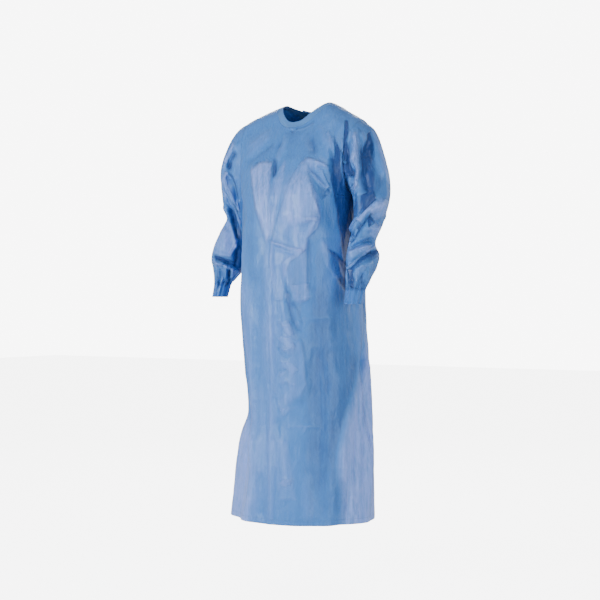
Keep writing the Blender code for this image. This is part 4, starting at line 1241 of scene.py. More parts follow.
# Painted highlights and painted shade on the film: paler where it lies taut to the light, deeper where it
# folds away from it
FRONT_PAINTED_LIGHT_AND_SHADE = patches(
    BODY,
    ("chest sheen", 0.48, 6,
     "-163,199 -148,181 -130,175 -103,175 -109,224 -112,290 -109,396 -121,417 -136,366 -151,305 -160,245"),
    ("chest streak", 0.12, 2, "-166,199 -160,181 -151,260 -145,314 -154,290"),
    ("chest streak", 0.14, 2, "-142,169 -133,178 -133,260 -127,356 -136,326 -142,254"),
    ("chest streak", 0.16, 1.5, "-121,163 -112,169 -118,260 -112,387 -121,335 -124,245"),
    ("chest streak", 0.12, 1.5, "-106,175 -103,184 -106,305 -103,387 -109,332"),
    ("chest hollow", -0.09, 1.5, "-151,175 -145,175 -139,278 -133,338 -142,305 -151,230"),
    ("chest hollow", -0.09, 1.5, "-130,184 -124,184 -127,260 -121,332 -130,278"),
    ("sheen by the chest fold", 0.26, 4, "-97,224 -63,169 -66,230 -85,305 -94,366 -109,411 -109,320"),
    ("streak by the chest fold", 0.14, 1.5, "-69,187 -63,187 -78,254 -94,335 -103,399 -103,335 -91,260"),
    ("neck edge shade", -0.08, 2, "-66,60 -42,73 -12,70 27,51 0,79 -42,85"),
    ("chest swell sheen", 0.21, 2.5,
     "-9,169 -30,199 -51,245 -66,290 -85,344 -103,411 -109,477 -94,592 -69,592 -66,532 -48,477 -18,456 "
     "3,435 3,405 36,375 45,341 18,275 6,230"),
    ("swell streak", 0.1, 2, "-15,187 -9,187 -12,245 -15,305 -24,290 -21,230"),
    ("swell streak", -0.11, 2, "-39,242 -30,230 -33,278 -24,332 -33,362 -42,305"),
    ("swell streak", -0.08, 2, "-9,224 -3,236 -3,278 -9,308"),
    ("swell edge light", 0.14, 1.2, "-6,172 0,178 12,224 21,278 45,335 39,344 15,281 3,230"),
    ("swell crumple light", 0.1, 2, "-9,344 18,338 42,341 36,353 6,353"),
    ("swell crumple shade", -0.09, 2, "-30,369 -6,356 12,369 0,384 -24,384"),
    ("waist sheen", 0.12, 4, "-69,477 3,417 6,592 -27,598 -54,562 -66,516"),
    ("pocket sheen", 0.22, 1.5, "-6,169 18,175 48,199 72,248 60,260 30,230 6,199"),
    ("pocket crest light", 0.22, 1.2, "-6,163 15,166 42,175 66,187 63,193 36,184 9,175"),
    ("pocket shade", -0.12, 2, "6,205 30,236 60,263 69,254 76,266 48,290 24,260 9,230"),
    ("pocket inner shade", -0.09, 1.5, "21,187 42,202 48,214 27,202"),
    ("upper chest shade", -0.04, 6, "-60,85 72,79 72,163 -18,169 -57,163"),
    ("waist crumple sheen", 0.19, 3, "-45,547 9,541 15,586 -15,604 -42,595"),
    ("front band sheen", 0.05, 5,
     "-103,592 -63,598 -42,668 -24,698 -18,743 -6,803 -9,858 -21,882 -48,900 -66,924 -72,954 -91,942 "
     "-103,773"),
    ("band shade", -0.09, 7, "-63,658 -6,713 6,809 -9,906 -54,918 -66,773"),
    ("under chest sheen", 0.07, 5, "48,284 91,278 103,350 97,405 48,399 60,338"),
    ("band crinkle", 0.13, 1.5, "-75,658 -54,652 -36,692 -48,701 -66,683"),
    ("band crinkle", 0.13, 1.5, "-85,707 -60,695 -36,719 -27,743 -48,737 -69,725"),
    ("band crinkle", -0.11, 1.5, "-91,731 -66,743 -42,761 -54,773 -78,755"),
    ("band crinkle", 0.12, 1.5, "-78,773 -48,779 -21,803 -36,815 -66,797"),
    ("band crinkle", 0.14, 1.5, "-82,815 -54,803 -60,812 -75,825"),
    ("band crinkle", -0.09, 1.5, "-82,846 -54,834 -48,864 -69,882"),
    ("band crinkle", 0.13, 1.5, "-75,924 -51,912 -48,924 -66,945"),
    ("knee crumple", 0.14, 2, "-82,1142 -48,1133 -45,1151 -72,1157"),
    ("centre band sheen", 0.08, 4, "-121,396 -100,411 -88,592 -91,954 -97,1256 -112,1256 -115,954 -121,592"),
    ("side sheen", 0.72, 24,
     "190,668 175,818 151,888 130,970 112,1039 103,1099 115,1181 115,1317 284,1317 284,1105 272,954 "
     "260,834 248,668"),
    ("side streak", 0.13, 2, "154,894 163,870 160,1015 145,1136 133,1241 121,1241 133,1105 145,1015"),
    ("side streak", 0.1, 2, "181,773 187,773 184,954 169,1105 163,1196 154,1136 169,985"),
    ("side streak shade", -0.14, 2, "142,970 136,1045 127,1136 118,1196 121,1105 130,1015"),
    ("side streak shade", -0.09, 3, "175,954 187,985 193,1226 169,1226 166,1075"),
    ("left flare sheen", 0.71, 18, "-181,924 -169,1015 -172,1105 -178,1317 -320,1317 -320,1166 -278,1060"),
    ("skirt left sheen", 0.1, 26, "-230,547 -133,547 -103,683 -103,1256 -169,1287 -223,985 -236,773"),
    ("knee sheen", 0.09, 5, "-103,1015 -54,1015 -42,1136 -30,1196 -78,1196 -97,1105"),
    ("side chest shade", -0.01, 3,
     "6,218 24,275 48,338 36,387 6,411 6,592 18,683 139,683 139,441 106,335 82,230 63,184 36,218"),
    ("arm fold shade", -0.33, 2.5,
     "85,97 103,139 106,205 127,290 133,396 139,465 115,477 106,411 100,335 88,275 76,224 88,187"),
    ("under arm shade", -0.17, 2, "63,169 82,160 97,187 97,230 76,218"),
    ("side waist shade", -0.3, 4, "63,435 91,450 133,501 139,592 103,544 76,495"),
    ("chest fold shade", -0.2, 2, "-100,163 -88,169 -91,214 -100,224"),
    ("waist fold shade", -0.11, 2, "-63,532 -48,562 -30,607 -9,646 -12,689 -27,683 -45,646 -60,592"),
    ("skirt right shade", -0.08, 22,
     "6,894 12,743 24,562 133,562 151,743 163,773 133,849 103,954 79,1045 57,1166 0,1166"),
    ("cap fold shade", -0.34, 1.5, "118,48 127,51 133,109 130,145 115,163 112,133"),
    ("armhole shade", -0.52, 4, "106,139 133,169 157,290 157,622 118,592 109,477 115,396 124,290", 90),
    ("armhole light", 0.22, 1.2, "106,103 112,109 115,205 127,248 121,254 109,211"),
    ("near shoulder shade", -0.06, 7, "72,-6 121,6 133,48 109,60 85,36"),
    ("body edge line", 0.17, 1.2, "-109,411 -91,417 -42,432 -3,441 -6,447 -48,441 -97,423"),
    ("neck edge line", 0.16, 1.2, "-69,51 -51,70 -30,76 -6,73 24,54 24,60 -6,79 -30,82 -57,76"),
    ("shoulder fold line", 0.14, 1.5, "69,79 82,115 97,157 91,163 72,127 63,91"),
    ("side waist crest", 0.13, 3, "48,405 63,429 79,477 103,526 91,532 63,489 45,441"),
) + patches(
    LEFT,
    ("cap fold shade", -0.32, 2, "118,48 124,60 133,109 130,157 115,175 112,124", 0),
    ("armhole shade", -0.42, 3, "91,169 121,184 127,290 118,381 109,477 72,477"),
    ("inner crest light", 0.24, 1.5, "148,236 157,242 139,299 118,356 106,399 103,375 121,326 136,284"),
    ("arm back fold shade", -0.46, 2, "184,91 193,85 205,133 211,193 205,266 193,305 184,290 181,184", 0),
    ("arm back soft shade", -0.04, 6, "199,91 223,169 230,230 211,278 196,290 199,184"),
    ("arm middle shade", -0.08, 4, "160,169 181,139 181,260 169,305 139,335 145,290"),
    ("inner fold shade", -0.32, 2.5, "103,193 133,218 142,284 133,335 118,362 106,290", 0),
    ("elbow fold shade", -0.49, 2,
     "205,260 211,290 175,326 145,362 124,411 115,447 97,429 103,375 121,320 157,278", 204),
    ("elbow pocket shade", -0.41, 2, "154,350 166,362 133,417 121,408"),
    ("triangle shade", -0.38, 1.5, "193,332 211,353 187,372"),
    ("forearm fold shade", -0.42, 2, "223,435 220,459 139,510 121,501 169,459", 60),
    ("wrist inner shade", -0.26, 2.5, "121,480 133,495 145,529 142,556 130,550 127,513"),
    ("outer arm sheen", 0.24, 2, "196,79 205,82 230,139 260,224 260,248 248,242 223,169"),
    ("elbow sheen", 0.29, 3, "193,323 239,284 257,296 248,329 211,353"),
    ("cap facet sheen", 0.14, 2, "136,115 145,127 154,163 160,214 157,242 148,239 148,193 142,157"),
    ("cap facet shade", -0.22, 1.5, "121,160 133,172 139,199 130,218 118,199"),
    ("cap facet light", 0.17, 1.2, "130,79 136,82 133,127 124,169 121,139"),
    ("cap second shade", -0.18, 2, "157,73 166,79 172,139 169,163 160,133"),
    ("cap crumple shade", -0.26, 1.5, "136,242 148,242 145,272 136,293 133,266"),
    ("cap low sheen", 0.19, 2, "124,221 151,211 160,245 133,263"),
    ("elbow crest sheen", 0.24, 2, "112,411 130,362 163,332 202,311 169,353 139,402 121,441"),
    ("forearm sheen", 0.1, 3, "130,429 199,384 217,429 151,474 124,492"),
    ("wrist shade", -0.11, 4, "118,507 217,453 236,483 187,562 115,562"),
    ("outer rim shade", -0.06, 5, "205,97 272,199 272,272 217,302 199,230"),
    ("forearm low sheen", 0.04, 3, "139,510 211,462 227,477 202,535 139,538"),
    ("elbow low sheen", 0.14, 2, "196,369 230,369 242,387 220,414 193,399"),
    ("shoulder shade", -0.07, 7, "103,6 139,12 181,42 217,109 205,157 169,115 133,73 109,42"),
    ("shoulder sheen", 0.04, 4, "130,36 157,42 181,79 169,139 145,97 133,67"),
    ("armhole crest", 0.29, 1.2,
     "112,308 124,278 136,254 151,230 157,236 142,266 130,299 118,335 109,369 103,356"),
    ("cap crest line", 0.26, 1.2, "139,97 148,100 157,139 163,193 160,230 154,224 154,169 145,133"),
    ("elbow line", 0.36, 1.2, "118,432 127,411 151,375 157,378 136,411 124,441"),
    ("elbow line", 0.24, 1.2, "193,326 205,332 223,356 236,381 230,384 211,359"),
    ("forearm line", 0.39, 1.2, "121,495 145,471 181,444 205,429 205,435 175,459 145,483 127,501"),
    ("forearm line", 0.17, 1.2, "133,429 163,432 199,423 199,429 163,441 133,438"),
    ("wrist lobe", 0.22, 1.5, "112,501 121,495 127,520 124,544 115,532"),
    ("wrist lobe", 0.14, 1.5, "145,501 169,483 181,495 163,526 151,538"),
    ("outer deep", -0.04, 4, "211,139 223,169 236,224 223,260 205,278 211,214"),
) + patches(
    RIGHT,
    ("cap fold shade", -0.15, 2, "-208,115 -199,109 -208,148 -223,181 -236,199 -242,187 -226,151", 180),
    ("arm shade", -0.2, 2.5, "-233,202 -220,218 -211,260 -205,311 -205,338 -220,305 -230,275 -242,236"),
    ("arm diagonal shade", -0.33, 2,
     "-251,269 -233,299 -211,341 -193,387 -187,441 -208,405 -230,356 -248,314", 205),
    ("forearm inner shade", -0.45, 2.5, "-202,411 -181,477 -187,520 -220,486 -230,453 -214,420", 180),
    ("cross fold shade", -0.3, 1.5, "-278,456 -242,465 -202,483 -205,504 -242,489 -275,474", 70),
    ("flute shade", -0.2, 2, "-266,483 -254,501 -257,544 -266,556 -269,520"),
    ("flute shade", -0.2, 2, "-236,486 -226,507 -233,544 -245,553 -242,516"),
    ("forearm sheen", 0.33, 3,
     "-254,344 -230,353 -214,393 -208,429 -226,462 -254,459 -284,450 -287,435 -269,387"),
    ("arm crest sheen", 0.24, 2, "-239,202 -242,224 -220,278 -208,311 -233,284 -254,236"),
    ("outer arm sheen", 0.16, 3, "-263,163 -242,157 -242,296 -263,290"),
    ("wrist sheen", 0.16, 2, "-278,471 -248,480 -254,495 -272,501"),
    ("arm crest line", 0.4, 1.2, "-245,205 -236,205 -220,242 -208,284 -199,326 -208,320 -223,275 -239,236"),
    ("cap crest line", 0.32, 1.2, "-251,175 -236,148 -220,118 -214,121 -226,151 -242,181"),
    ("diagonal crest line", 0.37, 1.2, "-254,254 -242,272 -217,311 -196,356 -199,366 -223,326 -248,284"),
    ("forearm line", 0.22, 1.2, "-233,447 -220,429 -208,405 -202,411 -211,435 -226,456"),
    ("cross crest line", 0.26, 1.2, "-281,465 -254,477 -223,495 -211,501 -217,507 -254,489 -281,477"),
    ("flute crest", 0.22, 1.2, "-257,501 -248,495 -251,544 -260,544"),
    ("flute crest", 0.19, 1.2, "-226,495 -217,495 -223,532 -230,532"),
)
CAMERA_AZIMUTH = 32.0
SIDE_FACING = (0.55, 0.80)
SHEETS = (
    CreaseSheet(Viewpoint(CAMERA_AZIMUTH), FRONT_CREASES, FRONT_PAINTED_LIGHT_AND_SHADE),
    CreaseSheet(Viewpoint(CAMERA_AZIMUTH + 180.0), BACK_CREASES),
    CreaseSheet(Viewpoint(CAMERA_AZIMUTH + 90.0), LEFT_CREASES, (), *SIDE_FACING),
    CreaseSheet(Viewpoint(CAMERA_AZIMUTH - 90.0), RIGHT_CREASES, (), *SIDE_FACING),
)


@dataclass
class Piece:
    """One piece of cloth while it is worked on: its grid, and how strongly its group's creases show."""

    name: str
    grid: Array
    ring: bool
    group: Group
    reach: Array | float
    normal: Array = field(default_factory=lambda: np.zeros(0))

    @property
    def rows(self) -> int:
        """Return the number of rows."""
        return self.grid.shape[0]

    @property
    def columns(self) -> int:
        """Return the number of columns."""
        return self.grid.shape[1]


# The fold attribute paints light and shade: crease and crumple ridges paler, their hollows darker
@dataclass(frozen=True)
class Tone:
    """How the fold attribute is made: its value on flat film, and the lifts that raise it by one.

    closed is its value on the ties and the tab; elsewhere the value paints light and shade into the colour.
    """

    flat: float = 0.36
    crease_rise: float = 0.030
    crumple_rise: float = 0.060
    closed: float = 0.30


TONE = Tone()


@dataclass(frozen=True)
class Drape:
    """Works out how far the cloth moves out by its creases and its crumple, and the film's tone of painted
    light and shade.
    """

    sheets: tuple[CreaseSheet, ...] = SHEETS
    crumple: Crumple = Crumple()

    def work_out(self, piece: Piece) -> tuple[Array, Array]:
        """Work out each point's lift and tone; creases scale with the piece's reach.

        Args:
            piece: The piece, with its normals.

        Returns:
            How far each point moves out, in metres, and the film's tone of painted light and shade there,
            from 0 to 1.
        """
        creased = np.zeros(piece.grid.shape[:-1])
        drawn = np.zeros(piece.grid.shape[:-1])
        for sheet in self.sheets:
            creased += sheet.lift(piece.group, piece.grid, piece.normal)
            drawn += sheet.tone(piece.group, piece.grid, piece.normal)
        creased = creased * piece.reach
        crumpled = self.crumple.lift(piece.grid)
        # Painted light and shade: ridges painted paler, hollows darker, and the patches' painted highlights
        # and shade
        tone = TONE.flat + creased / TONE.crease_rise + crumpled / TONE.crumple_rise + drawn
        return creased + crumpled, np.clip(tone, 0.0, 1.0)


def weld_normals(pieces: list[Piece]) -> None:
    """Give each piece unit outward normals, averaged where pieces share a point.

    Args:
        pieces: The pieces; their normal fields are set.
    """
    raw = [outward_normals(piece.grid, piece.ring).reshape(-1, 3) for piece in pieces]
    points = np.concatenate([piece.grid.reshape(-1, 3) for piece in pieces])
    keys = np.round(points / CLOTH.weld).astype(np.int64)
    _, index = np.unique(keys, axis=0, return_inverse=True)
    index = index.reshape(-1)
    total = np.zeros((index.max() + 1, 3))
    np.add.at(total, index, np.concatenate(raw))
    merged = unit(total[index])
    cuts = np.cumsum([piece.rows * piece.columns for piece in pieces])[:-1]
    for piece, part in zip(pieces, np.split(merged, cuts)):
        piece.normal = part.reshape(piece.grid.shape)


def seam_steps(piece: Piece) -> Array:
    """Draw a piece's outside rows and columns in by half the seam gap.

    Args:
        piece: The piece, with its normals.

    Returns:
        The steps.
    """
    grid = piece.grid
    steps = np.zeros_like(grid)
    every = slice(None)
    edges = [((0, every), (1, every)), ((-1, every), (-2, every))]
    if not piece.ring:
        edges += [((every, 0), (every, 1)), ((every, -1), (every, -2))]
    for edge, inside in edges:
        line = grid[edge]
        run = np.gradient(line, axis=0)
        if piece.ring:
            run = np.roll(line, -1, axis=0) - np.roll(line, 1, axis=0)
        inward = unit(np.cross(piece.normal[edge], run))
        side = math.copysign(1.0, float((inward * (grid[inside] - line)).sum()))
        steps[edge] += inward * side * CLOTH.seam_gap / 2.0
    return steps


def quads(rows: int, columns: int, ring: bool) -> Array:
    """List the quads of a grid.

    Args:
        rows: Rows of points.
        columns: Points in a row.
        ring: Whether each row closes on itself.

    Returns:
        Four point numbers a quad.
    """
    place = np.arange(rows * columns).reshape(rows, columns)
    if ring:
        place = np.concatenate([place, place[:, :1]], axis=1)
    return np.stack([place[:-1, :-1], place[:-1, 1:], place[1:, 1:], place[1:, :-1]], axis=-1).reshape(-1, 4)


def rim_quads(rows: int, columns: int, ring: bool) -> Array:
    """List the quads that join the edges of a wall's two skins.

    Args:
        rows: Rows of points.
        columns: Points in a row.
        ring: Whether each row closes on itself.

    Returns:
        Four point numbers a quad.
    """
    count = rows * columns
    place = np.arange(count).reshape(rows, columns)
    if ring:
        place = np.concatenate([place, place[:, :1]], axis=1)
    edges = [(place[0, :-1], place[0, 1:]), (place[-1, 1:], place[-1, :-1])]
    if not ring:
        edges += [(place[1:, 0], place[:-1, 0]), (place[:-1, -1], place[1:, -1])]
    faces = [np.stack([end, start, start + count, end + count], axis=-1) for start, end in edges]
    return np.concatenate(faces)


def add_mesh(name: str, points: Array, faces: Array, tone: Array | None = None) -> bpy.types.Object:
    """Add a mesh object from whole arrays.

    Args:
        name: The object's name.
        points: Its points.
        faces: Point numbers, one row a face.
        tone: The fold attribute's value at each point, for cloth: its painted light and shade.

    Returns:
        The object, shaded smooth.
    """
    mesh = bpy.data.meshes.new(name)
    corners = faces.shape[1]
    mesh.vertices.add(len(points))
    mesh.vertices.foreach_set("co", np.ascontiguousarray(points, dtype=np.float32).ravel())
    mesh.loops.add(faces.size)
    mesh.loops.foreach_set("vertex_index", np.ascontiguousarray(faces, dtype=np.int32).ravel())
    mesh.polygons.add(len(faces))
    mesh.polygons.foreach_set("loop_start", np.arange(0, faces.size, corners, dtype=np.int32))
    mesh.polygons.foreach_set("use_smooth", np.ones(len(faces), dtype=bool))
    mesh.update(calc_edges=True)
    mesh.validate()
    if tone is not None:
        attribute = mesh.attributes.new("fold", "FLOAT", "POINT")
        attribute.data.foreach_set("value", np.ascontiguousarray(tone, dtype=np.float32))
    made = bpy.data.objects.new(name, mesh)
    bpy.context.scene.collection.objects.link(made)
    LOG.info("%s: %d points, %d faces", name, len(points), len(faces))
    return made


def orient(points: Array, faces: Array, outward: Array) -> Array:
    """Turn a mesh's faces so that they look along its first points' outward normals.

    Args:
        points: The points.
        faces: Point numbers, one row a face; the first half of them are on the outer skin.
        outward: A normal for each point of the outer skin.

    Returns:
        The faces, reversed if they looked inward.
    """
    sample = faces[: max(1, len(faces) // 2)]
    sample = sample[(sample < len(outward)).all(axis=1)]
    looks = np.cross(points[sample[:, 2]] - points[sample[:, 0]], points[sample[:, 3]] - points[sample[:, 1]])
    return faces if float((looks * outward[sample[:, 0]]).sum()) > 0.0 else faces[:, ::-1]


@dataclass(frozen=True)
class NodeBook:
    """Adds and links the nodes of one node tree."""

    tree: bpy.types.NodeTree

    def add(self, kind: str, **settings: object) -> bpy.types.Node:
        """Add a node.

        Args:
            kind: Its type name.
            **settings: Node properties, or socket values by socket name with _ for a space.

        Returns:
            The node.
        """
        node = self.tree.nodes.new(kind)
        for key, value in settings.items():
            if hasattr(node, key):
                setattr(node, key, value)
            else:
                node.inputs[key.replace("_", " ")].default_value = value
        return node

    def link(self, source: bpy.types.NodeSocket, target: bpy.types.NodeSocket) -> None:
        """Link two sockets.

        Args:
            source: The output.
            target: The input.
        """
        self.tree.links.new(source, target)

    def maths(self, operation: str, *values: float | bpy.types.NodeSocket) -> bpy.types.NodeSocket:
        """Add a math node.

        Args:
            operation: Its operation.
            *values: Its inputs in order, each a number or a socket.

        Returns:
            The node's output.
        """
        node = self.add("ShaderNodeMath", operation=operation)
        for socket, value in zip(node.inputs, values):
            if isinstance(value, (int, float)):
                socket.default_value = value
            else:
                self.link(value, socket)
        return node.outputs[0]

    def add_up(self, *terms: tuple[bpy.types.NodeSocket, float]) -> bpy.types.NodeSocket:
        """Add up values by their shares.

        Args:
            *terms: A value and its share each.

        Returns:
            The sum of value times share.
        """
        value, share = terms[0]
        total = self.maths("MULTIPLY", value, share)
        for value, share in terms[1:]:
            total = self.maths("MULTIPLY_ADD", value, share, total)
        return total

    def noise(self, place: bpy.types.NodeSocket, **settings: float) -> bpy.types.NodeSocket:
        """Add noise.

        Args:
            place: The coordinates.
            **settings: Its socket values.

        Returns:
            The noise, about 0 to 1.
        """
        node = self.add("ShaderNodeTexNoise", **settings)
        self.link(place, node.inputs["Vector"])
        return node.outputs["Fac"]

    def ridged(self, place: bpy.types.NodeSocket, scale: float, detail: float) -> bpy.types.NodeSocket:
        """Add noise folded about its middle, which gives crisp crease lines.

        Args:
            place: The coordinates.
            scale: The noise's scale.
            detail: Its octaves.

        Returns:
            2 |noise - 0.5|.
        """
        noise = self.noise(place, Scale=scale, Detail=detail, Roughness=0.5)
        return self.maths("MULTIPLY", self.maths("ABSOLUTE", self.maths("SUBTRACT", noise, 0.5)), 2.0)

    def mix(self, factor: bpy.types.NodeSocket, low: tuple, high: tuple) -> bpy.types.NodeSocket:
        """Mix two colours.

        Args:
            factor: The share of the second colour.
            low: The first colour.
            high: The second colour.

        Returns:
            The mixed colour.
        """
        node = self.add("ShaderNodeMix", data_type="RGBA")
        factor_socket, low_socket, high_socket = (node.inputs[place] for place in (0, 6, 7))
        self.link(factor, factor_socket)
        low_socket.default_value = (*low, 1.0)
        high_socket.default_value = (*high, 1.0)
        return node.outputs[2]


@dataclass(frozen=True)
class Film:
    """Crinkled, film-coated nonwoven: the scales of its noises, per metre, and their shares in each mask.

    A crinkle has a scale and a number of octaves; the stretches draw a noise out along the gown.
    """

    coarse: tuple[float, float] = (26.0, 2.0)
    middle: tuple[float, float] = (70.0, 3.0)
    fine: tuple[float, float] = (210.0, 2.0)
    fibre_scale: float = 1500.0
    dot_scale: float = 520.0
    patch_scale: float = 9.0
    streak_scale: float = 110.0
    crinkle_stretch: float = 0.42
    streak_stretch: float = 0.07
    height_shares: tuple[float, float, float, float] = (0.9, 0.5, 0.16, 0.05)
    mottle_shares: tuple[float, float, float] = (0.35, 0.25, 0.5)
    gloss_share: float = 0.4

    def build(self) -> bpy.types.NodeTree:
        """Make the film's node group.

        Returns:
            A group that puts out Mottle, a brightness mask, Gloss, a roughness mask, Height, and Streak,
            noise drawn out along the gown.
        """
        group = bpy.data.node_groups.new("crinkled_film", "ShaderNodeTree")
        for name in ("Mottle", "Gloss", "Height", "Streak"):
            group.interface.new_socket(name, in_out="OUTPUT", socket_type="NodeSocketFloat")
        book = NodeBook(group)
        out = book.add("NodeGroupOutput")
        place = book.add("ShaderNodeTexCoord").outputs["Object"]
        long_way = self.stretched(book, place, self.crinkle_stretch)
        coarse = book.ridged(long_way, *self.coarse)
        middle = book.ridged(long_way, *self.middle)
        fine = book.ridged(place, *self.fine)
        fibre = book.noise(place, Scale=self.fibre_scale, Detail=2.0)
        patch = book.noise(place, Scale=self.patch_scale, Detail=2.0)
        dots = book.add("ShaderNodeTexVoronoi", Scale=self.dot_scale)
        book.link(place, dots.inputs["Vector"])
        grain = (coarse, middle, fine, dots.outputs["Distance"])
        streak_way = self.stretched(book, place, self.streak_stretch)
        masks = {
            "Height": book.add_up(*zip(grain, self.height_shares)),
            "Mottle": book.add_up(*zip((middle, fibre, patch), self.mottle_shares)),
            "Gloss": book.add_up((fibre, self.gloss_share), (coarse, self.gloss_share)),
            "Streak": book.noise(streak_way, Scale=self.streak_scale, Detail=3.0, Roughness=0.6),
        }
        for name, mask in masks.items():
            book.link(mask, out.inputs[name])
        return group

    @staticmethod
    def stretched(book: NodeBook, place: bpy.types.NodeSocket, stretch: float) -> bpy.types.NodeSocket:
        """Draw coordinates out along the gown.

        Args:
            book: The node tree.
            place: The coordinates.
            stretch: What the heights are multiplied by.

        Returns:
            The new coordinates.
        """
        node = book.add("ShaderNodeMapping", vector_type="POINT", Scale=(1.0, 1.0, stretch))
        book.link(place, node.inputs["Vector"])
        return node.outputs["Vector"]


FILM_VALUES = {
    "Specular Tint": (0.55, 0.72, 1.0, 1.0),
    "Coat Tint": (0.85, 0.92, 1.0, 1.0),
    "Coat Roughness": 0.30,
    "Sheen Roughness": 0.45,
    "Sheen Tint": (0.80, 0.84, 1.0, 1.0),
    "Subsurface Weight": 0.10,
    "Subsurface Radius": (0.35, 0.6, 1.0),
    "Subsurface Scale": 0.004,
}


@dataclass(frozen=True)
class ClothFinish:
    """A finish of nonwoven cloth: its own deep blue, the pale blue of painted highlights, its gloss, its
    sheen and grain strength.
    """

    name: str
    # deep is the cloth's own blue; pale is the colour of painted highlights and sheen, at tone 1
    deep: tuple[float, float, float]
    pale: tuple[float, float, float]
    gloss: tuple[float, float]
    sheen: float
    coat: float
    bump: float
    bump_distance: float
    mottle: float = 0.08
    # tone_mottle makes the mottle grow inside the painted light and shade; streaks draw them out along the
    # gown
    tone_mottle: float = 1.6
    streaks: tuple[float, float] = (1.8, 0.1)
    relief: float = 4.0
    # trough holds the shares of the deep blue in the darkest painted shade, at tone 0
    trough: tuple[float, float, float] = (0.21, 0.24, 0.36)
    gloss_mask: tuple[float, float] = (0.1, 0.6)

    def build(self, group: bpy.types.NodeTree) -> bpy.types.Material:
        """Make the material.

        Args:
            group: The crinkled film's node group.

        Returns:
            The material.
        """
        material = bpy.data.materials.new(self.name)
        material.use_nodes = True
        book = NodeBook(material.node_tree)
        shader = material.node_tree.nodes["Principled BSDF"]
        film = book.add("ShaderNodeGroup", node_tree=group)
        # The fold attribute: painted light and shade from the creases, the crumple and the patches
        painted_tone = book.add("ShaderNodeAttribute", attribute_name="fold")
        # Colour ramp: painted shade at tone 0, the cloth's own deep blue at the flat tone, painted highlight
        # at tone 1
        blend = book.add("ShaderNodeValToRGB")
        ramp = blend.color_ramp
        ramp.elements[0].color = (*(np.array(self.deep) * np.array(self.trough)), 1.0)
        ramp.elements[1].color = (*self.pale, 1.0)
        ramp.elements.new(TONE.flat).color = (*self.deep, 1.0)
        # Streak noise draws the painted light and shade out along the gown; the mottle grows inside it
        lifted = book.maths("SUBTRACT", painted_tone.outputs["Fac"], TONE.flat)
        streaked = book.maths("MULTIPLY_ADD", film.outputs["Streak"], *self.streaks)
        spread = book.maths("MULTIPLY_ADD", lifted, streaked, TONE.flat)
        mottle = book.maths("SUBTRACT", film.outputs["Mottle"], 0.5)
        amount = book.maths("MULTIPLY_ADD", book.maths("ABSOLUTE", lifted), self.tone_mottle, self.mottle)
        tone = book.maths("MULTIPLY_ADD", mottle, amount, spread)
        book.link(tone, blend.inputs["Fac"])
        book.link(blend.outputs["Color"], shader.inputs["Base Color"])
        low, high = self.gloss
        rough = book.add("ShaderNodeMapRange", To_Min=low, To_Max=high)
        for end, value in zip(("From Min", "From Max"), self.gloss_mask):
            rough.inputs[end].default_value = value
        book.link(film.outputs["Gloss"], rough.inputs["Value"])
        book.link(rough.outputs["Result"], shader.inputs["Roughness"])
        bump = book.add("ShaderNodeBump", Strength=self.bump, Distance=self.bump_distance)
        relief = book.maths("MULTIPLY_ADD", painted_tone.outputs["Fac"], self.relief, film.outputs["Height"])
        book.link(relief, bump.inputs["Height"])
        book.link(bump.outputs["Normal"], shader.inputs["Normal"])
        values = FILM_VALUES | {"Sheen Weight": self.sheen, "Coat Weight": self.coat}
        for socket, value in values.items():
            shader.inputs[socket].default_value = value
        return material


# Name, own deep colour and pale colour of painted highlights, gloss range, sheen, coat, bump and bump
# distance
FINISHES = (
    ClothFinish("gown_cloth", (0.064, 0.232, 0.64), (0.27, 0.42, 1.0), (0.34, 0.52), 0.06, 0.08, 1.0, 0.003),
    ClothFinish("cuff_cloth", (0.045, 0.19, 0.58), (0.18, 0.33, 0.85), (0.34, 0.52), 0.3, 0.12, 1.0, 0.002),
    ClothFinish("binding_cloth", (0.08, 0.245, 0.6), (0.26, 0.42, 0.82), (0.55, 0.7), 0.2, 0.0, 0.6, 0.001),
    ClothFinish("closing_tab", (0.44, 0.52, 0.6), (0.64, 0.7, 0.76), (0.75, 0.9), 0.3, 0.0, 0.6, 0.0008),
    ClothFinish("tie_cloth", (0.08, 0.21, 0.5), (0.21, 0.35, 0.64), (0.5, 0.65), 0.2, 0.05, 0.5, 0.001),
    ClothFinish("thread", (0.11, 0.27, 0.6), (0.22, 0.38, 0.74), (0.5, 0.65), 0.3, 0.0, 0.3, 0.0002),
)


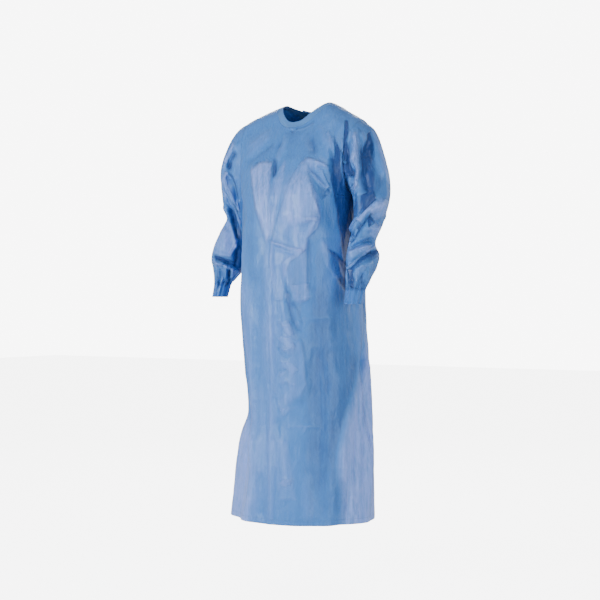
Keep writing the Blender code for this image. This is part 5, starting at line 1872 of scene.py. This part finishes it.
@dataclass(frozen=True)
class Stitching:
    """A row of machine stitches: their pitch, and one stitch's length, half thickness and stand.

    stand is the share of the half thickness that a stitch's middle is off the cloth.
    """

    pitch: float = 0.0042
    length: float = 0.0032
    radius: float = 0.00035
    stand: float = 0.9

    def row(self, line: Array, normal: Array) -> tuple[Array, Array]:
        """Lay stitches along a line of cloth points.

        Args:
            line: The points.
            normal: Their outward normals.

        Returns:
            The stitches' points, six each, and their triangles.
        """
        steps = np.linalg.norm(np.diff(line, axis=0), axis=1)
        begun = np.concatenate([[0.0], np.cumsum(steps)])
        middles = np.arange(self.pitch, begun[-1] - self.pitch, self.pitch)

        def at(values: Array, places: Array) -> Array:
            """Look values up at distances along the line."""
            return np.stack([np.interp(places, begun, values[:, axis]) for axis in range(3)], axis=-1)

        out = unit(at(normal, middles))
        start = at(line, middles - self.length / 2.0)
        end = at(line, middles + self.length / 2.0)
        way = unit(end - start)
        beside = unit(np.cross(way, out)) * self.radius
        centre = (start + end) / 2.0 + out * self.radius * self.stand
        ring = [centre + beside, centre + out * self.radius, centre - beside, centre - out * self.radius]
        points = np.stack([start, end, *ring], axis=1)
        start_faces = [[0, 2, 3], [0, 3, 4], [0, 4, 5], [0, 5, 2]]
        end_faces = [[1, 3, 2], [1, 4, 3], [1, 5, 4], [1, 2, 5]]
        one = np.array(start_faces + end_faces)
        triangles = (np.arange(len(middles))[:, None, None] * points.shape[1] + one).reshape(-1, 3)
        return points.reshape(-1, 3), triangles


# Where stitches run: up the side seams and the back edges, then along the hems, armholes, cuffs and neck
SIDE_RUN = slice(2, CLOTH.skirt_rows)
BACK_RUN = slice(2, -3)
STITCHED_COLUMNS = (
    ("front_panel", SIDE_RUN, 1),
    ("front_panel", SIDE_RUN, -2),
    ("back_left", SIDE_RUN, 1),
    ("back_right", SIDE_RUN, 1),
    ("back_left", BACK_RUN, -4),
    ("back_right", BACK_RUN, -4),
)
STITCHED_ROWS = (
    ("front_panel", 4),
    ("back_left", 4),
    ("back_right", 4),
    ("sleeve_left", 2),
    ("sleeve_right", 2),
    ("cuff_left", 2),
    ("cuff_left", -3),
    ("cuff_right", 2),
    ("cuff_right", -3),
    ("neck_binding", 1),
    ("neck_binding", -3),
)


@dataclass(frozen=True)
class Sheet:
    """What a cut piece measured before it was sewn: its greatest width and length, and its area."""

    width: float
    length: float
    area: float


SLOTS = {
    "front_panel": "gown_cloth",
    "back_left": "gown_cloth",
    "back_right": "gown_cloth",
    "sleeve_left": "gown_cloth",
    "sleeve_right": "gown_cloth",
    "cuff_left": "cuff_cloth",
    "cuff_right": "cuff_cloth",
    "neck_binding": "binding_cloth",
    "neck_tab": "closing_tab",
    "tie_left": "tie_cloth",
    "tie_right": "tie_cloth",
}


# Rows of a waist tie: place, share across the back, height, lift off the cloth, width and wall
TIE_LEFT = (
    ("side", 0.56, -0.436, 0.0012, 0.02, 0.0012),
    ("side", 0.46, -0.437, 0.0013, 0.02, 0.0012),
    ("flank", 0.36, -0.439, 0.002, 0.02, 0.0012),
    ("flank", 0.27, -0.44, 0.005, 0.019, 0.0012),
    ("back", 0.18, -0.441, 0.0085, 0.018, 0.0012),
    ("back", 0.09, -0.441, 0.0104, 0.015, 0.0014),
    ("knot start", 0.045, -0.442, 0.0112, 0.017, 0.004),
    ("knot", 0.01, -0.447, 0.0112, 0.022, 0.0075),
    ("knot end", -0.012, -0.46, 0.0112, 0.019, 0.0055),
    ("tail top", -0.026, -0.478, 0.0108, 0.014, 0.0014),
    ("tail", -0.038, -0.52, 0.01, 0.018, 0.0012),
    ("tail", -0.044, -0.58, 0.01, 0.02, 0.0012),
    ("tail", -0.04, -0.64, 0.01, 0.02, 0.0012),
    ("tail end", -0.046, -0.7, 0.01, 0.02, 0.0012),
)
TIE_RIGHT = (
    ("side", -0.56, -0.43, 0.0012, 0.02, 0.0012),
    ("side", -0.46, -0.432, 0.0013, 0.02, 0.0012),
    ("flank", -0.36, -0.435, 0.002, 0.02, 0.0012),
    ("flank", -0.26, -0.438, 0.0055, 0.019, 0.0012),
    ("back", -0.18, -0.44, 0.009, 0.018, 0.0012),
    ("back", -0.09, -0.442, 0.009, 0.014, 0.0012),
    ("knot start", -0.03, -0.444, 0.0088, 0.011, 0.001),
    ("knot", 0.006, -0.449, 0.0088, 0.01, 0.001),
    ("knot end", 0.03, -0.462, 0.0088, 0.011, 0.001),
    ("tail top", 0.04, -0.48, 0.0088, 0.013, 0.001),
    ("tail", 0.052, -0.525, 0.0088, 0.018, 0.0012),
    ("tail", 0.06, -0.59, 0.0088, 0.02, 0.0012),
    ("tail", 0.058, -0.65, 0.0088, 0.02, 0.0012),
    ("tail end", 0.064, -0.725, 0.0088, 0.02, 0.0012),
)


@dataclass(frozen=True)
class Strap:
    """A waist tie: a flat tape with folded edges that follows its table across the back."""

    rows: tuple
    samples: int = 150
    across: int = 10
    edge_rise: float = 0.00035
    edge_start: float = 0.7
    ripple: float = 0.0006
    ripple_rate: float = 2.3
    cut: tuple[float, float] = (0.020, 0.46)

    def grid(self, form: BodyForm) -> Array:
        """Grid the tape's closed section along its length.

        Args:
            form: The body that it lies on.

        Returns:
            Rings of points.
        """
        places = np.linspace(0.0, len(self.rows) - 1, self.samples)
        share, height, lift, width, wall = spline_rows(self.rows, places).T
        step = CLOTH.normal_step
        spot = form.skirt_point(Facing.BACK, share, height)
        beside = form.skirt_point(Facing.BACK, share + step, height)
        above = form.skirt_point(Facing.BACK, share, height + step)
        normal = unit(np.cross(beside - spot, above - spot))
        normal = normal * np.sign(normal[..., 1:2])
        path = spot + normal * lift[:, None]
        across = unit(np.cross(np.gradient(path, axis=0), normal)) * width[:, None] / 2.0
        turn = np.linspace(-1.0, 1.0, self.across)[None, :, None]
        rise = self.edge_rise * smoothstep((np.abs(turn) - self.edge_start) / (1.0 - self.edge_start))
        wave = self.ripple * np.sin(places * self.ripple_rate)[:, None, None] * turn
        low = path[:, None] + across[:, None] * turn + normal[:, None] * wave
        high = low + normal[:, None] * (wall[:, None, None] + rise)
        return np.concatenate([low, high[:, ::-1]], axis=1)


@dataclass(frozen=True)
class ClosingTab:
    """The tab that closes the neck behind, between the two back panels."""

    sizes: tuple[float, float] = (1.35, 2.40)
    turn: float = 20.0
    heights: tuple[float, float] = (0.0007, 0.0045)
    rows: int = 24
    columns: int = 40
    cut: tuple[float, float] = (0.075, 0.045)

    def grid(self, form: BodyForm) -> Array:
        """Grid the tab's closed section from its lower edge to its upper edge.

        Args:
            form: The body that it lies on.

        Returns:
            Rings of points.
        """
        turn = np.radians(np.linspace(-self.turn, self.turn, self.columns))
        step = CLOTH.normal_step
        rails = []
        for size in np.linspace(self.sizes[1], self.sizes[0], self.rows):
            spot = form.neck_points(Facing.BACK, turn, size)
            beside = form.neck_points(Facing.BACK, turn + step, size)
            beyond = form.neck_points(Facing.BACK, turn, size + step)
            normal = unit(np.cross(beside - spot, beyond - spot))
            normal = normal * np.sign(normal[..., 2:3])
            low, high = self.heights
            rails.append(np.concatenate([spot + normal * low, (spot + normal * high)[::-1]]))
        return np.array(rails)


@dataclass
class Gown:
    """The whole garment: it works out every piece, drapes it and adds it to the scene."""

    form: BodyForm = field(default_factory=BodyForm)
    left: SleeveForm = field(
        default_factory=lambda: SleeveForm(SLEEVE_SECTIONS_LEFT, SLEEVE_FOLDS_LEFT, 1.0, CUFF_DRIFT_LEFT)
    )
    right: SleeveForm = field(
        default_factory=lambda: SleeveForm(SLEEVE_SECTIONS_RIGHT, SLEEVE_FOLDS_RIGHT, -1.0, CUFF_DRIFT_RIGHT)
    )
    drape: Drape = field(default_factory=Drape)
    stitching: Stitching = field(default_factory=Stitching)
    pieces: list[Piece] = field(default_factory=list)
    materials: dict[str, bpy.types.Material] = field(default_factory=dict)

    def shares(self) -> Array:
        """Return half a panel's column places, from the middle to the side seam."""
        neck = np.linspace(0.0, CLOTH.neck_share, CLOTH.neck_steps + 1)
        shoulder = np.linspace(CLOTH.neck_share, 1.0, CLOTH.shoulder_steps + 1)
        return np.concatenate([neck, shoulder[1:]])

    @staticmethod
    def lap_lift(shares: Array) -> Array:
        """Say how far the outer back panel stands off the inner one.

        Args:
            shares: Places across the back.

        Returns:
            Lifts in metres.
        """
        ramp = (CLOTH.neck_share - shares) / (CLOTH.neck_share - CLOTH.lap_share)
        return CLOTH.lap_lift * np.clip(ramp * CLOTH.lap_ramp, 0.0, 1.0)

    def binding(self, front: Array, back_left: Array, back_right: Array) -> Array:
        """Grid the neck binding from the panels' own edge points to the edge of the opening.

        Args:
            front: The front panel's grid.
            back_left: The left back panel's grid.
            back_right: The right back panel's grid.

        Returns:
            Rows of points.
        """
        quarter = math.pi / 2.0
        neck = slice(CLOTH.shoulder_steps + 1, None)
        behind = np.arange(1, CLOTH.neck_steps + CLOTH.lap_steps + 1)
        turn = quarter - behind * quarter / CLOTH.neck_steps
        ahead = np.arange(-CLOTH.neck_steps, CLOTH.neck_steps + 1) * quarter / CLOTH.neck_steps
        middle = front[-1, CLOTH.shoulder_steps : len(front[-1]) - CLOTH.shoulder_steps]
        edge = np.concatenate([back_right[-1, neck][::-1], middle, back_left[-1, neck]])
        rows = []
        for size in np.linspace(1.0, 0.0, CLOTH.binding_rows):
            parts = [
                self.form.neck_points(Facing.BACK, -turn[::-1], size),
                self.form.neck_points(Facing.FRONT, ahead, size),
                self.form.neck_points(Facing.BACK, turn, size),
            ]
            rows.append(np.concatenate(parts))
        return np.array(rows) + (edge - rows[0])[None]

    def lay_out(self) -> None:
        """Work out the grid of every cut piece."""
        half = self.shares()
        front_shares = np.concatenate([-half[:0:-1], half])
        lap = np.linspace(0.0, -CLOTH.lap_share, CLOTH.lap_steps + 1)[1:]
        back_shares = np.concatenate([half[::-1], lap])
        front = self.form.panel(Facing.FRONT, front_shares, np.zeros_like(front_shares))
        back_left = self.form.panel(Facing.BACK, back_shares, self.lap_lift(back_shares))
        back_right = self.form.panel(Facing.BACK, -back_shares, np.zeros_like(back_shares))
        yoke = CLOTH.skirt_rows
        ring_left = np.concatenate([front[yoke:, -1], back_left[yoke + 1 : -1, 0][::-1]])
        ring_right = np.concatenate([front[yoke:, 0], back_right[yoke + 1 : -1, 0][::-1]])
        sleeve_left = self.left.sleeve(ring_left)
        sleeve_right = self.right.sleeve(ring_right)
        cuff_left = self.left.cuff(sleeve_left[-1])
        cuff_right = self.right.cuff(sleeve_right[-1])
        binding = self.binding(front, back_left, back_right)
        body = self.form
        self.pieces = [
            Piece("front_panel", front, False, BODY, body.crease_reach(front, front_shares)),
            Piece("back_left", back_left, False, BODY, body.crease_reach(back_left, back_shares)),
            Piece("back_right", back_right, False, BODY, body.crease_reach(back_right, -back_shares)),
            Piece("sleeve_left", sleeve_left, True, LEFT, self.left.crease_reach()),
            Piece("sleeve_right", sleeve_right, True, RIGHT, self.right.crease_reach()),
            Piece("cuff_left", cuff_left, True, LEFT, 0.0),
            Piece("cuff_right", cuff_right, True, RIGHT, 0.0),
            Piece("neck_binding", binding, False, BODY, 1.0),
        ]
        weld_normals(self.pieces)

    def add_cloth(self, piece: Piece) -> bpy.types.Object:
        """Drape one piece and add it as a thin closed wall.

        Args:
            piece: The piece; its grid becomes the draped one.

        Returns:
            The object.
        """
        lift, tone = self.drape.work_out(piece)
        piece.grid = piece.grid + seam_steps(piece) + piece.normal * lift[..., None]
        rows, columns = piece.rows, piece.columns
        outer = piece.grid.reshape(-1, 3)
        normal = outward_normals(piece.grid, piece.ring).reshape(-1, 3)
        extra = CLOTH.binding_extra if piece.name == "neck_binding" else 0.0
        points = np.concatenate([outer + normal * extra, outer - normal * (CLOTH.wall + extra)])
        skin = quads(rows, columns, piece.ring)
        faces = np.concatenate([skin, skin[:, ::-1] + rows * columns, rim_quads(rows, columns, piece.ring)])
        faces = orient(points, faces, normal)
        made = add_mesh(f"{piece.name}_cloth", points, faces, np.tile(tone.reshape(-1), 2))
        self.dress(made, piece.name)
        return made

    def dress(self, made: bpy.types.Object, node: str) -> None:
        """Let an object ride on the gown in place of its solid, with the solid's finish.

        Args:
            made: The object.
            node: The solid's node.
        """
        made.data.materials.append(self.materials[SLOTS[node]])
        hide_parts(node)
        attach(made, "root")

    def add_closed(self, name: str, node: str, grid: Array) -> bpy.types.Object:
        """Add a closed band of rings with capped ends.

        Args:
            name: The object's name.
            node: The solid it stands for.
            grid: Rings of points.

        Returns:
            The object.
        """
        rows, columns = grid.shape[:2]
        half = columns // 2
        skin = quads(rows, columns, True)
        caps = []
        for row in (0, rows - 1):
            low = row * columns + np.arange(half - 1)
            high = row * columns + columns - 1 - np.arange(half - 1)
            cap = np.stack([low, low + 1, high - 1, high], axis=-1)
            caps.append(cap if row == 0 else cap[:, ::-1])
        points = grid.reshape(-1, 3)
        outward = SleeveForm.ring_outward(grid).reshape(-1, 3)
        faces = orient(points, np.concatenate([skin, *caps]), outward)
        made = add_mesh(name, points, faces, np.full(len(points), TONE.closed))
        self.dress(made, node)
        return made

    def stitch_lines(self) -> list[tuple[Array, Array]]:
        """List the lines that stitches run along.

        Returns:
            The points and the normals of each line.
        """
        by_name = {piece.name: piece for piece in self.pieces}
        lines = []
        for name, rows, column in STITCHED_COLUMNS:
            piece = by_name[name]
            lines.append((piece.grid[rows, column], piece.normal[rows, column]))
        for name, row in STITCHED_ROWS:
            piece = by_name[name]
            round_it = np.arange(piece.columns + int(piece.ring)) % piece.columns
            lines.append((piece.grid[row, round_it], piece.normal[row, round_it]))
        return lines

    def add_stitches(self) -> bpy.types.Object:
        """Sew the seams: one object of all the gown's stitches.

        Returns:
            The object.
        """
        points, faces, count = [], [], 0
        for line, normal in self.stitch_lines():
            made, triangles = self.stitching.row(line, normal)
            points.append(made)
            faces.append(triangles + count)
            count += len(made)
        stitches = add_mesh("stitches", np.concatenate(points), np.concatenate(faces))
        stitches.data.materials.append(self.materials["thread"])
        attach(stitches, "root")
        return stitches

    def build(self) -> None:
        """Build the whole gown."""
        group = Film().build()
        self.materials = {finish.name: finish.build(group) for finish in FINISHES}
        self.lay_out()
        for piece in self.pieces:
            self.add_cloth(piece)
        for name, rows in (("tie_left", TIE_LEFT), ("tie_right", TIE_RIGHT)):
            strap = Strap(rows)
            tape = self.add_closed(f"{name}_tape", name, strap.grid(self.form))
        tab = ClosingTab()
        pad = self.add_closed("neck_tab_pad", "neck_tab", tab.grid(self.form))
        self.add_stitches()


@dataclass(frozen=True)
class Lamp:
    """A soft area lamp, placed round the gown's middle."""

    name: str
    azimuth: float
    elevation: float
    distance: float
    size: float
    power: float
    colour: tuple[float, float, float] = (1.0, 1.0, 1.0)

    def build(self, target: Array) -> bpy.types.Object:
        """Add the lamp, aimed at the gown.

        Args:
            target: Where it points.

        Returns:
            The lamp.
        """
        data = bpy.data.lights.new(self.name, "AREA")
        data.shape = "DISK"
        data.size = self.size
        data.energy = self.power
        data.color = self.colour
        lamp = bpy.data.objects.new(self.name, data)
        turn, rise = math.radians(self.azimuth), math.radians(self.elevation)
        way = np.array([math.sin(turn) * math.cos(rise), -math.cos(turn) * math.cos(rise), math.sin(rise)])
        lamp.location = target + way * self.distance
        lamp.rotation_euler = (math.pi / 2.0 - rise, 0.0, turn)
        bpy.context.scene.collection.objects.link(lamp)
        return lamp


@dataclass(frozen=True)
class Studio:
    """The pale floor, the soft lamps and the camera."""

    floor_height: float = -1.445
    floor_side: float = 12.0
    aim_height: float = -0.55
    lens: float = 79.47
    sensor: float = 36.0
    ambient: float = 0.40
    backdrop: float = 8.0
    floor_glow: float = 6.0
    floor_roughness: float = 0.7
    paint: tuple[tuple[float, float, float], ...] = ((0.86, 0.86, 0.87), (0.90, 0.90, 0.90))
    lamps: tuple[Lamp, ...] = (
        Lamp("key", -24.0, 8.0, 3.6, 0.6, 88.0),
        Lamp("front", 62.0, 2.0, 4.4, 2.0, 72.0),
        Lamp("top", 20.0, 66.0, 3.0, 0.8, 14.0),
        Lamp("side", 150.0, 10.0, 3.0, 1.2, 12.0, (0.90, 0.94, 1.0)),
        Lamp("back", 212.0, 30.0, 3.4, 1.8, 50.0),
    )

    def floor(self) -> bpy.types.Object:
        """Add the floor, with a faint grain in its paint.

        Returns:
            The floor.
        """
        signs = np.array([[-1, -1, 0], [1, -1, 0], [1, 1, 0], [-1, 1, 0]])
        corners = signs * self.floor_side + np.array([0.0, 0.0, self.floor_height])
        floor = add_mesh("floor", corners, np.array([[0, 1, 2, 3]]))
        material = bpy.data.materials.new("floor_paint")
        material.use_nodes = True
        book = NodeBook(material.node_tree)
        shader = material.node_tree.nodes["Principled BSDF"]
        place = book.add("ShaderNodeTexCoord").outputs["Object"]
        grain = book.noise(place, Scale=3.0, Detail=4.0)
        book.link(book.mix(grain, *self.paint), shader.inputs["Base Color"])
        shader.inputs["Roughness"].default_value = self.floor_roughness
        shader.inputs["Emission Strength"].default_value = self.floor_glow
        seen = book.add("ShaderNodeLightPath").outputs["Is Camera Ray"]
        book.link(book.mix(seen, (0.0, 0.0, 0.0), (1.0, 1.0, 1.0)), shader.inputs["Emission Color"])
        floor.data.materials.append(material)
        return floor

    def build(self, viewpoint: Viewpoint) -> None:
        """Set up the floor, the lamps, the sky and the camera.

        Args:
            viewpoint: Where the camera stands.
        """
        self.floor()
        target = np.array([0.0, 0.0, self.aim_height])
        for lamp in self.lamps:
            lamp.build(target)
        world = bpy.context.scene.world or bpy.data.worlds.new("studio")
        bpy.context.scene.world = world
        world.use_nodes = True
        sky = world.node_tree.nodes["Background"]
        sky.inputs["Color"].default_value = (1.0, 1.0, 1.0, 1.0)
        book = NodeBook(world.node_tree)
        seen = book.add("ShaderNodeLightPath").outputs["Is Camera Ray"]
        strength = book.maths("MULTIPLY_ADD", seen, self.backdrop - self.ambient, self.ambient)
        book.link(strength, sky.inputs["Strength"])
        data = bpy.data.cameras.new("camera")
        data.lens = self.lens
        data.sensor_width = self.sensor
        camera = bpy.data.objects.new("camera", data)
        camera.location = viewpoint.eye()
        camera.rotation_euler = (math.pi / 2.0, 0.0, math.radians(viewpoint.azimuth))
        bpy.context.scene.collection.objects.link(camera)
        bpy.context.scene.camera = camera


def main() -> None:
    """Build the gown and its studio."""
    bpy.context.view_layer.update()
    Gown().build()
    Studio().build(Viewpoint(CAMERA_AZIMUTH))


if __name__ == "__main__":
    main()
